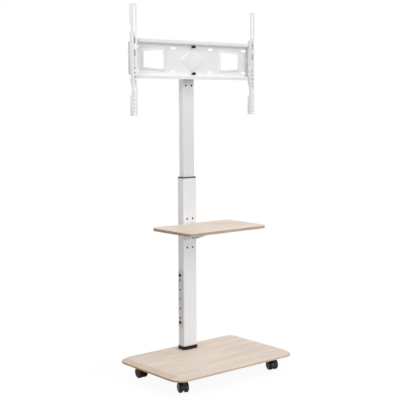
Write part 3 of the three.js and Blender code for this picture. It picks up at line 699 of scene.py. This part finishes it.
def pressed_copy(node: str, finish: Finish, body: str, fold: float, above: float = 32.0) -> Object:
    """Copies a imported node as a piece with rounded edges.

    Args:
        node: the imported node.
        finish: its finish.
        body: the body it rides on.
        fold: width of the edge rounding.
        above: edges sharper than this, in degrees, are rounded.

    Returns:
        The piece.
    """
    made = Blank.of_node(node).piece(f"{node}_dressed", [finish], body, [node], smooth=above)
    edge = made.modifiers.new("edges", "BEVEL")
    edge.width, edge.segments, edge.limit_method = fold, 2, "ANGLE"
    edge.angle_limit = math.radians(above)
    edge.harden_normals = True
    return made


@dataclass(frozen=True)
class Screw:
    """A kind of screw with a turned head and a hexagon socket, shaped pointing up with its seat at z = 0.

    Its crown and the socket's depth are shares of the head's height, its socket one of the head's radius.
    """

    finish: Finish
    facing: Facing
    radius: float
    head_radius: float
    head_height: float
    crown: float = 0.25
    shoulder: Point | None = None
    tip: float = 0.6 * MM
    arris: float = 0.3 * MM
    socket: float = 0.5
    socket_depth: float = 0.6

    def seat(self, node: str) -> tuple[Vector, float]:
        """Finds the seat's middle and the shank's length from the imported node.

        Args:
            node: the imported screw.

        Returns:
            The middle of the seat of the head or its shoulder, and the length of the shank.
        """
        low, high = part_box(node)
        outward = (self.facing.turn @ Vector((0, 0, 1))).normalized()
        span = abs((high - low).dot(outward))
        top = (low + high) / 2 + outward * span / 2
        above = self.head_height + (self.shoulder[1] if self.shoulder else 0.0)
        return top - outward * above, span - above

    def dress(self, node: str, body: str) -> None:
        """Turns the screw, opens its socket and puts it in its place.

        Args:
            node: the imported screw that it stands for.
            body: the body it rides on.
        """
        seat, length = self.seat(node)
        rise, rim = self.head_height, self.head_radius
        cheek, flat, mouth = rim * 0.94, rim * 0.82, rim * 0.6
        shank, tip, base = self.radius, min(self.tip, length / 3), 0.0
        profile = [(0.0, -length), (shank - tip, -length), (shank, -length + tip), (shank, 0.0)]
        if self.shoulder:
            wide, base = self.shoulder
            profile += [(wide, 0.0), (wide, base)]
        profile += [
            (rim - self.arris, base), (rim, base + self.arris), (rim, base + rise * (1 - self.crown)),
            (cheek, base + rise * (1 - self.crown / 3)), (flat, base + rise), (mouth, base + rise),
        ]
        blank = Blank()
        blank.lathe(profile, steps=32)
        bm = blank.bm
        open_rim = [e for e in bm.edges if e.is_boundary]
        ring = bmesh.ops.create_circle(bm, cap_ends=False, segments=6, radius=rim * self.socket)["verts"]
        blank.shift(ring, (0, 0, base + rise))
        hexagon = list(dict.fromkeys(e for v in ring for e in v.link_edges))
        bmesh.ops.bridge_loops(bm, edges=open_rim + hexagon)
        deep = bmesh.ops.extrude_edge_only(bm, edges=hexagon)["geom"]
        blank.shift(deep, (0, 0, -rise * self.socket_depth))
        bmesh.ops.contextual_create(bm, geom=[e for e in bm.edges if e.is_boundary])
        blank.place(Matrix.Translation(seat) @ self.facing.turn)
        blank.piece(f"{node}_dressed", [self.finish], body, [node], smooth=30.0)


# Sub-assemblies


@dataclass
class BaseBoard:
    """The wooden base board with rounded corners and a wide chamfer, the foot collar and the clamp below.

    A face is flat, or on the chamfer, where its normal points up or down by more than that level.
    """

    body: str = "base"
    corner: float = 48 * MM
    edge_height: float = 7 * MM
    chamfer_run: float = 22 * MM
    arris: float = 1.0 * MM
    flat_level: float = 0.98
    chamfer_level: float = 0.6
    collar_corner: float = 6.6 * MM
    collar_wall: float = 2.6 * MM
    collar_arris: float = 0.9 * MM
    clamp_fold: float = 0.6 * MM
    bolt: Screw = Screw(ZINC, Facing.DOWN, 4 * MM, 7.5 * MM, 5 * MM)
    bolts: int = 4

    def board(self) -> None:
        """Raises the board from its outline, chamfers its top and tells its faces apart by their slope, with
        painted shade on the ends.
        """
        low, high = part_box("base_board")
        size = high - low
        blank = Blank()
        face = blank.outline(size.x, size.y, self.corner, steps=14)
        top = blank.raised([face], self.edge_height)
        bmesh.ops.inset_region(
            blank.bm, faces=top, thickness=self.chamfer_run, depth=size.z - self.edge_height,
            use_even_offset=True,
        )
        blank.soften(self.arris, above=14.0, steps=3)
        blank.bm.normal_update()
        for part in blank.bm.faces:
            level = abs(part.normal.z)
            band = 0 if level > self.flat_level else 1 if level > self.chamfer_level else 2
            # Painted shade: chamfer and edge faces at the ends take the shaded copies.
            painted_shade_end = band > 0 and abs(part.normal.x) > abs(part.normal.y)
            part.material_index = band + 2 * painted_shade_end
        blank.place(foot_of("base_board"))
        finishes = [BOARD_FACE, BOARD_CHAMFER, BASE_EDGE, PAINTED_SHADE_CHAMFER_END, PAINTED_SHADE_BASE_END]
        blank.piece("base_board_dressed", finishes, self.body, ["base_board"])

    def collar(self) -> None:
        """Makes the dark collar round the post's foot."""
        low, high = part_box("base_collar")
        size = high - low
        blank = Blank()
        blank.tube(size.x, size.y, self.collar_corner, self.collar_wall, size.z)
        blank.soften(self.collar_arris, above=50.0, steps=3)
        blank.place(foot_of("base_collar"))
        blank.piece("base_collar_dressed", [BLACK_MOULD], self.body, ["base_collar"])

    def build(self) -> None:
        """Builds the board, the collar, the clamp plate and its bolts."""
        self.board()
        self.collar()
        pressed_copy("clamp_plate", ZINC, self.body, self.clamp_fold)
        for number in range(self.bolts):
            self.bolt.dress(f"base_bolt_{number + 1}", self.body)


@dataclass
class Caster:
    """A twin-wheel caster: its hood, wheels, axle and stem, shaped round the axle along X.

    The hood's angles are degrees round the axle, from the side away from the stem over the top.
    """

    place: str
    wheel_radius: float = 21 * MM
    inner_face: float = 4.5 * MM
    tread: float = 11 * MM
    tread_depth: float = 1.2 * MM
    wheel_arris: float = 1.4 * MM
    outer_face: float = 20 * MM
    dome_flat: float = 0.44
    dome_steps: int = 8
    cap_share: float = 0.36
    cap_groove: float = 0.9 * MM
    trail: float = 18 * MM
    hood_half_width: float = 16 * MM
    hood_inside: float = 22.2 * MM
    hood_outside: float = 24 * MM
    hood_from: float = 12.0
    hood_to: float = 200.0
    web: float = 7 * MM
    hub_radius: float = 6.5 * MM
    hub_width: float = 7.6 * MM
    boss_radius: float = 8.5 * MM
    boss_foot: float = 7 * MM
    boss_taper: float = 0.92
    axle_fold: float = 0.4 * MM
    stem_fold: float = 0.5 * MM

    @property
    def body(self) -> str:
        """The swivelling body."""
        return f"caster_{self.place}"

    def frame_matrix(self) -> Matrix:
        """Finds the caster's place and heading from the model's joints.

        Returns:
            The matrix that takes the caster's own frame, axle along X at the origin, to the model's.
        """
        spin = next(j for j in frame["joints"] if j["name"] == f"{self.body}_wheel_right_spin")
        along = Vector(spin["axis"])
        heading = math.atan2(along.y, along.x)
        return Matrix.Translation(Vector(spin["pos_m"])) @ Matrix.Rotation(heading, 4, "Z")

    def wheel(self, side: Side) -> None:
        """Spins one wheel: a flat inner face, a tread, a domed outer face and a hub cap.

        Args:
            side: which of the two wheels.
        """
        radius, inner, outer = self.wheel_radius, self.inner_face, self.outer_face
        shoulder, flat = inner + self.tread, radius * self.dome_flat
        profile = [
            (0.0, inner), (radius - 4 * MM, inner), (radius - self.wheel_arris, inner + 0.3 * MM),
            (radius - 0.4 * MM, inner + 0.9 * MM), (radius, inner + self.wheel_arris), (radius, shoulder),
        ]
        for step in range(self.dome_steps):
            angle = (step + 1) / self.dome_steps * QUARTER_TURN
            out, along = math.cos(angle), math.sin(angle)
            profile.append((flat + (radius - flat) * out, shoulder + (outer - shoulder) * along))
        cap, groove = radius * self.cap_share, outer - self.cap_groove
        profile += [
            (cap + 0.8 * MM, outer), (cap + 0.4 * MM, groove), (cap - 0.2 * MM, groove),
            (cap - 0.8 * MM, outer - 0.1 * MM), (cap / 2, outer), (0.0, outer),
        ]
        blank = Blank()
        blank.lathe(profile, steps=56)
        for part in blank.bm.faces:
            out = part.calc_center_median().xy.length
            part.material_index = int(out > radius - self.tread_depth)
        blank.place(Matrix.Rotation(side.value * QUARTER_TURN, 4, "Y"))
        blank.place(self.frame_matrix())
        node, body = f"{self.body}_wheel_{side.word}", f"wheel_{self.place}_{side.word}"
        blank.piece(f"{node}_dressed", [WHEEL_MOULD, TREAD], body, [node])

    def hood(self) -> None:
        """Spins the crowned fender and adds the web, the hub and the stem's boss."""
        blank = Blank()
        bm = blank.bm
        half, inside, outside = self.hood_half_width, self.hood_inside, self.hood_outside
        crown = [
            (half + 0.1 * MM, outside - 1.5 * MM), (half - 1.2 * MM, outside - 0.5 * MM),
            (half * 0.6, outside),
        ]
        section = [(-half, inside), (half, inside), *crown, *((-x, out) for x, out in reversed(crown))]
        axle, start = (1, 0, 0), math.radians(self.hood_from)
        sweep = math.radians(self.hood_to - self.hood_from)
        loop = [bm.verts.new((x, out * math.cos(start), out * math.sin(start))) for x, out in section]
        edges = [bm.edges.new(pair) for pair in zip(loop, loop[1:] + loop[:1])]
        blank.spin(loop + edges, axle, sweep, steps=30)
        bmesh.ops.holes_fill(bm, edges=[e for e in bm.edges if e.is_boundary], sides=0)
        first = bm.verts.new((-self.web / 2, inside * math.cos(start), inside * math.sin(start)))
        blank.spin([first], axle, sweep, steps=24)
        wire = [e for e in bm.edges if e.is_wire]
        ends = [v for v in dict.fromkeys(v for e in wire for v in e.verts) if len(v.link_edges) == 1]
        wire.append(bm.edges.new(ends))
        blade = bmesh.ops.contextual_create(bm, geom=wire)["faces"]
        grown = bmesh.ops.extrude_face_region(bm, geom=blade)["geom"]
        blank.shift(grown, (self.web, 0, 0))
        blank.rod(self.hub_radius, self.hub_width, Facing.RIGHT.turn, steps=28)
        node, foot = f"{self.body}_hood", self.boss_foot
        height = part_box(node)[1].z - self.wheel_radius - foot
        middle = Matrix.Translation((0, -self.trail, foot + height / 2))
        blank.rod(self.boss_radius, height, middle, steps=32, taper=self.boss_taper)
        blank.place(self.frame_matrix())
        blank.piece(f"{node}_dressed", [BLACK_MOULD], self.body, [node])

    def build(self) -> None:
        """Builds the caster's hood, wheels, axle and stem."""
        self.hood()
        for side in Side:
            self.wheel(side)
        pressed_copy(f"{self.body}_axle", ZINC, self.body, self.axle_fold)
        pressed_copy(f"{self.body}_stem", ZINC, "base", self.stem_fold, above=40.0)


@dataclass(frozen=True)
class Column:
    """One of the post's two rectangular tubes, with rows of two screw holes in its front.

    Its node may reach further behind the tube. The near-black discs of painted shade in its holes are a piece
    named by shades.
    """

    node: str
    body: str
    corner: float
    wall: float
    rows: tuple[float, ...]
    shades: str
    behind: float = 0.0
    hole_span: float = 29 * MM
    hole_radius: float = 4.2 * MM
    arris: float = 0.4 * MM

    def holes(self, depth: float) -> list[Matrix]:
        """Finds the places of the holes.

        Args:
            depth: their Y.

        Returns:
            Their matrices.
        """
        return [
            Matrix.Translation((side.value * self.hole_span / 2, depth, row)) @ Facing.FRONT.turn
            for row in self.rows
            for side in Side
        ]

    def build(self) -> None:
        """Draws the tube, drills its holes and paints shade into them: near-black walls and discs."""
        low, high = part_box(self.node)
        depth = high.y - self.behind - low.y
        blank = Blank()
        blank.tube(high.x - low.x, depth, self.corner, self.wall, high.z - low.z)
        blank.soften(self.arris, above=50.0)
        blank.place(Matrix.Translation((0, low.y + depth / 2, low.z)))
        made = blank.piece(f"{self.node}_dressed", [WHITE_COAT, PAINTED_HOLE_SHADE], self.body, [self.node])
        drill(made, self.hole_radius, self.holes(low.y))
        paint_hole_shade(self.shades, self.body, self.hole_radius, self.holes(low.y + PAINTED_SHADE_DEPTH))


@dataclass
class Post:
    """The telescoping post: both columns, the bushing between them, the side strip and all their screws."""

    boss_height: float = 4 * MM
    outer: Column = Column(
        "outer_column", "base", 4 * MM, 2 * MM, (503.6 * MM, 542.8 * MM, 582 * MM, 621.2 * MM),
        "column_hole_painted_shades", behind=boss_height,
    )
    inner: Column = Column("inner_column", "mast", 3 * MM, 1.8 * MM, (1158 * MM,), "spare_hole_painted_shades")
    boss_radius: float = 9 * MM
    boss_arris: float = 0.5 * MM
    weld_width: float = 0.8 * MM
    weld_low: float = 0.4 * MM
    weld_high: float = 1.4 * MM
    sunk: float = 1 * MM
    foot: float = 6 * MM
    fitting_fold: float = 0.8 * MM
    strip_fold: float = 0.4 * MM
    strip_face_level: float = 0.5
    strip_hole_radius: float = 3.8 * MM
    strip_hole_pitch: float = 39 * MM
    strip_screw: Screw = Screw(BLACK_OXIDE, Facing.LEFT, 3 * MM, 6 * MM, 3.5 * MM, crown=0.6)
    lock_screw: Screw = Screw(BLACK_OXIDE, Facing.BACK, 4 * MM, 8 * MM, 5 * MM)

    def lock_bosses(self) -> None:
        """Adds the turned weld bosses of the two lock screws."""
        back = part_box("outer_column")[1].y - self.boss_height
        hole, radius, height = self.lock_screw.radius, self.boss_radius, self.boss_height
        for number in (1, 2):
            low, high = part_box(f"lock_screw_{number}")
            blank = Blank()
            blank.lathe([
                (hole, -self.sunk), (radius + self.weld_width, -self.sunk),
                (radius + self.weld_width, self.weld_low), (radius, self.weld_high),
                (radius, height - self.boss_arris), (radius - self.boss_arris, height), (hole, height),
                (hole, -self.sunk),
            ])
            blank.place(Matrix.Translation((0, back, (low.z + high.z) / 2)) @ Facing.BACK.turn)
            blank.piece(f"lock_boss_{number}", [WHITE_COAT], "base")

    def foot_plate(self) -> None:
        """Adds the foot plate inside the outer column's foot."""
        low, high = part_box("outer_column")
        depth, walls = high.y - self.boss_height - low.y, 2 * self.outer.wall
        blank = Blank()
        face = blank.outline(high.x - low.x - walls, depth - walls, self.outer.corner / 2)
        blank.raised([face], self.foot)
        blank.place(Matrix.Translation((0, low.y + depth / 2, low.z)))
        blank.piece("foot_plate", [WHITE_COAT], "base")

    def strip_holes(self, across: float) -> list[Matrix]:
        """Finds the places of the five small holes in the side strip.

        Args:
            across: their X.

        Returns:
            Their matrices.
        """
        low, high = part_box("side_strip")
        middle = (low + high) / 2
        return [
            Matrix.Translation((across, middle.y, middle.z + row * self.strip_hole_pitch)) @ Facing.RIGHT.turn
            for row in range(-2, 3)
        ]

    def strip(self) -> None:
        """Dresses the side strip, with painted shade on its cut edges and in its holes."""
        low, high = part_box("side_strip")
        made = pressed_copy("side_strip", STRIP_COAT, "base", self.strip_fold)
        drill(made, self.strip_hole_radius, self.strip_holes((low.x + high.x) / 2))
        # Painted shade: faces across the strip's thickness take the darker rim coat.
        made.data.materials.append(PAINTED_STRIP_RIM_SHADE.material())
        for part in made.data.polygons:
            part.material_index = int(abs(part.normal.x) < self.strip_face_level)
        # Painted shade: near-black discs just inside the strip's holes.
        shades = self.strip_holes(low.x + PAINTED_SHADE_DEPTH)
        paint_hole_shade("strip_hole_painted_shades", "base", self.strip_hole_radius, shades)

    def build(self) -> None:
        """Builds both columns with their plastic fittings, the strip and the screws."""
        self.outer.build()
        self.lock_bosses()
        self.foot_plate()
        self.inner.build()
        pressed_copy("column_bushing", GREY_MOULD, "base", self.fitting_fold)
        pressed_copy("inner_glide", GREY_MOULD, "mast", self.fitting_fold)
        pressed_copy("inner_cap", BLACK_MOULD, "mast", self.fitting_fold)
        self.strip()
        for number in (1, 2):
            self.strip_screw.dress(f"strip_screw_{number}", "base")
            self.lock_screw.dress(f"lock_screw_{number}", "base")


@dataclass
class Head:
    """The stamped head plate, its saddle and bolts, and the two screen arms."""

    bolt: Screw = Screw(
        BLACK_OXIDE, Facing.FRONT, 3 * MM, 5.5 * MM, 7.5 * MM, crown=0.15, shoulder=(3.8 * MM, 9 * MM)
    )
    arm_screw: Screw = Screw(BRIGHT_ZINC, Facing.FRONT, 2.5 * MM, 4.5 * MM, 3 * MM)
    fold: float = 0.45 * MM
    nut_fold: float = 0.5 * MM
    sheet: float = 2 * MM
    window_width: float = 9 * MM
    window_from: float = 1352 * MM
    window_to: float = 1453.5 * MM
    window_roundness: float = 0.999
    web_top: float = 1345 * MM
    toe_top: float = 1120 * MM

    def web_cutter(self, arm: str, web: Side, above: bool) -> Object:
        """Makes a box that takes one web away at an end of an arm.

        Args:
            arm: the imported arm.
            web: which of its webs.
            above: whether the box is for the upper end.

        Returns:
            The cutter.
        """
        low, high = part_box(arm)
        edge = high.x if web is Side.RIGHT else low.x
        bottom, top = (self.web_top, high.z + self.sheet) if above else (low.z - self.sheet, self.toe_top)
        middle = Vector((edge, (low.y + high.y) / 2 + self.sheet, (bottom + top) / 2))
        span = (2 * self.sheet, high.y - low.y, top - bottom)
        block = Blank()
        bmesh.ops.create_cube(block.bm, size=1.0)
        block.place(Matrix.Translation(middle) @ Matrix.Diagonal((*span, 1.0)))
        return block.cutter()

    def arm(self, side: Side) -> None:
        """Dresses an arm and opens its ends: a long slot above, and a web gone where the photo shows none.

        Args:
            side: which arm.
        """
        body = f"arm_{side.word}"
        low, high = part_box(body)
        # The arm's lighter copy of the white coat is painted light.
        made = pressed_copy(body, ARM_PAINTED_LIGHT_COAT, body, self.fold, above=28.0)
        slot = Blank()
        width, height = self.window_width, self.window_to - self.window_from
        face = slot.outline(width, height, width / 2 * self.window_roundness)
        slot.raised([face], 4 * self.sheet)
        middle = ((low.x + high.x) / 2, low.y + 2 * self.sheet, (self.window_from + self.window_to) / 2)
        slot.place(Matrix.Translation(middle) @ Facing.FRONT.turn)
        cuts = [slot.cutter()]
        cuts += [self.web_cutter(body, Side.RIGHT, above) for above in (True, False)]
        if side is Side.RIGHT:
            cuts.append(self.web_cutter(body, Side.LEFT, above=True))
        carve(made, cuts)

    def build(self) -> None:
        """Builds the plate, the saddle, the bolts and nuts, and both arms with their screws."""
        # The head plate's lighter copy of the white coat is painted light.
        pressed_copy("head_plate", HEAD_PAINTED_LIGHT_COAT, "mast", self.fold, above=24.0)
        pressed_copy("head_saddle", WHITE_COAT, "mast", self.fold)
        for word in ("upper", "lower"):
            self.bolt.dress(f"head_bolt_{word}", "mast")
            pressed_copy(f"head_nut_{word}", ZINC, "mast", self.nut_fold)
        for side in Side:
            self.arm(side)
            self.arm_screw.dress(f"arm_screw_{side.word}", f"arm_{side.word}")


@dataclass
class Shelf:
    """The shelf board, its bracket and all its screws."""

    body: str = "shelf"
    corner: float = 25 * MM
    arris: float = 1.5 * MM
    flat_level: float = 0.6
    bracket_fold: float = 0.5 * MM
    wood_screw: Screw = Screw(ZINC, Facing.DOWN, 2 * MM, 4 * MM, 2.4 * MM, crown=0.7)
    column_screw: Screw = Screw(BLACK_OXIDE, Facing.FRONT, 3 * MM, 5 * MM, 4 * MM, crown=0.5)
    screws: int = 4

    def board(self) -> None:
        """Raises the shelf board from its outline, rounds its rims and tells its faces apart, with painted
        shade on its ends.
        """
        low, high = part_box("shelf_board")
        size = high - low
        blank = Blank()
        face = blank.outline(size.x, size.y, self.corner, steps=12)
        blank.raised([face], size.z)
        blank.soften(self.arris, above=50.0, steps=3)
        blank.bm.normal_update()
        for part in blank.bm.faces:
            # Painted shade: edge faces at the ends take the shaded copy.
            painted_shade_end = abs(part.normal.x) > abs(part.normal.y)
            part.material_index = 0 if abs(part.normal.z) > self.flat_level else 2 if painted_shade_end else 1
        blank.place(foot_of("shelf_board"))
        finishes = [BOARD_FACE, BOARD_EDGE, PAINTED_SHADE_BOARD_END]
        blank.piece("shelf_board_dressed", finishes, self.body, ["shelf_board"])

    def build(self) -> None:
        """Builds the board, the bracket and the screws."""
        self.board()
        pressed_copy("shelf_bracket", WHITE_COAT, self.body, self.bracket_fold)
        for number in range(self.screws):
            self.wood_screw.dress(f"shelf_wood_screw_{number + 1}", self.body)
            self.column_screw.dress(f"shelf_column_screw_{number + 1}", self.body)


# Studio


@dataclass(frozen=True)
class Sun:
    """A distant lamp.

    Its strength is its light on a surface that faces it. Its angles are degrees: above the floor, to the
    right of the front, and its own width as seen from the object.
    """

    name: str
    strength: float
    elevation: float
    azimuth: float
    softness: float
    distance: float = 4.0

    def hang(self) -> None:
        """Hangs the lamp."""
        data = bpy.data.lights.new(self.name, "SUN")
        data.energy, data.angle = self.strength, math.radians(self.softness)
        up, turn = math.radians(self.elevation), math.radians(self.azimuth)
        towards = Vector((math.sin(turn) * math.cos(up), -math.cos(turn) * math.cos(up), math.sin(up)))
        aim(data, towards * self.distance, towards)


@dataclass(frozen=True)
class Spot:
    """A spot lamp with a soft edge, which hangs at a place and points to a target, its cone in degrees."""

    name: str
    power: float
    place: Place
    target: Place
    cone: float
    size: float = 0.35

    def hang(self) -> None:
        """Hangs the lamp."""
        data = bpy.data.lights.new(self.name, "SPOT")
        data.energy, data.spot_size, data.spot_blend = self.power, math.radians(self.cone), 1.0
        data.shadow_soft_size = self.size
        place = Vector(self.place)
        aim(data, place, place - Vector(self.target))


def aim(data: Light, place: Vector, back: Vector) -> None:
    """Hangs a lamp's object.

    Args:
        data: the lamp.
        place: where it hangs.
        back: the way from its target to it.
    """
    made = stand(data.name, data)
    made.rotation_mode = "QUATERNION"
    made.rotation_quaternion = back.to_track_quat("Z", "Y")
    made.location = place


@dataclass
class Studio:
    """The pale floor, the lamps, the world and the camera, with angles in degrees, lens and film in mm."""

    eye: Place = (-2.329, -2.7665, 1.0818)
    gaze: Place = (0.635, 0.7655, -0.1035)
    yaw: float = 39.68
    roll: float = -0.245
    lens: float = 82.44
    film: float = 36.0
    nearest: float = 0.05
    farthest: float = 100.0
    sky: float = 0.56
    shadow_share: float = 0.2
    floor_tone: float = 0.52
    floor_glow: float = 1.16
    floor_half: float = 30.0
    lamps: tuple[Sun | Spot, ...] = (
        Sun("key", 0.55, 57.0, 30.0, 14.0),
        Sun("back", 0.18, 52.0, -135.0, 20.0),
        Sun("fill", 0.5, 8.0, -8.0, 50.0),
        Spot("side", 40.0, (-1.6, -0.5, 1.75), (-0.15, 0.08, 1.3), 44.0),
        Spot("low", 115.0, (0.5, -2.5, 0.45), (0.0, 0.1, 0.3), 18.0),
        Spot("head", 54.0, (0.9, -2.1, 2.5), (0.05, 0.08, 1.28), 22.0),
    )

    def two_faced(self, owner: World | Material, lit: Shader, shown: Shader, share: float) -> None:
        """Gives a world or material one shader that lights and one that is seen.

        The second is for rays that come from the camera, a reflection or clear glass.

        Args:
            owner: the world or material.
            lit: type and inputs of the first shader.
            shown: type and inputs of the second shader.
            share: how much of the second shader such rays see.
        """
        owner.use_nodes = True
        tree = owner.node_tree
        tree.nodes.clear()
        path = tree.nodes.new("ShaderNodeLightPath").outputs
        mask = path["Is Camera Ray"]
        for ray in ("Is Glossy Ray", "Is Transmission Ray"):
            mask = add_node(tree, "Math", {0: mask, 1: path[ray]}, operation="MAXIMUM")
        mask = add_node(tree, "Math", {0: mask, 1: share}, operation="MULTIPLY")
        mixed = add_node(tree, "MixShader", {"Fac": mask, 1: add_node(tree, *lit), 2: add_node(tree, *shown)})
        end = "World" if isinstance(owner, World) else "Material"
        feed(tree.nodes.new(f"ShaderNodeOutput{end}"), {"Surface": mixed})

    def world(self) -> None:
        """Makes a world that is white to look at and gives a plain soft light."""
        world = bpy.data.worlds.new("studio")
        white = linear((255, 255, 255))
        lit, shown = (("Background", {"Color": white, "Strength": strength}) for strength in (self.sky, 1.0))
        self.two_faced(world, lit, shown, 1.0)
        bpy.context.scene.world = world

    def floor(self) -> None:
        """Lays a pale floor that shows white and keeps a faint shadow."""
        bm = bmesh.new()
        bmesh.ops.create_grid(bm, x_segments=1, y_segments=1, size=self.floor_half)
        mesh = bpy.data.meshes.new("floor")
        bm.to_mesh(mesh)
        bm.free()
        paint = bpy.data.materials.new("floor_paint")
        tone = self.floor_tone
        matt, glow = {"Color": (tone, tone, tone, 1.0)}, {"Strength": self.floor_glow}
        self.two_faced(paint, ("BsdfDiffuse", matt), ("Emission", glow), 1.0 - self.shadow_share)
        mesh.materials.append(paint)
        made = stand("floor", mesh)

    def camera(self) -> None:
        """Sets the camera that was fitted to the photo."""
        ahead = Vector(self.gaze).normalized()
        turn, tilt = math.radians(self.yaw), math.radians(self.roll)
        flat = Vector((math.cos(turn), -math.sin(turn), 0.0))
        over = flat.cross(ahead)
        right = flat * math.cos(tilt) + over * math.sin(tilt)
        up = over * math.cos(tilt) - flat * math.sin(tilt)
        data = bpy.data.cameras.new("camera")
        data.lens, data.sensor_width, data.sensor_fit = self.lens, self.film, "HORIZONTAL"
        data.clip_start, data.clip_end = self.nearest, self.farthest
        made = stand("camera", data)
        turned = Matrix((right, up, -ahead)).transposed().to_4x4()
        made.matrix_world = Matrix.Translation(Vector(self.eye)) @ turned
        bpy.context.scene.camera = made

    def build(self) -> None:
        """Sets up the whole studio."""
        self.world()
        self.floor()
        for lamp in self.lamps:
            lamp.hang()
        self.camera()
        bpy.context.scene.view_settings.view_transform = "Standard"


def main() -> None:
    """Builds the studio and then every sub-assembly."""
    logging.basicConfig(level=logging.INFO, format="%(name)s: %(message)s")
    casters = [Caster(place) for place in ("front_left", "front_right", "rear_left", "rear_right")]
    for part in (Studio(), BaseBoard(), Post(), Head(), Shelf(), *casters):
        log.info("building %s", type(part).__name__)
        part.build()


if __name__ == "__main__":
    main()
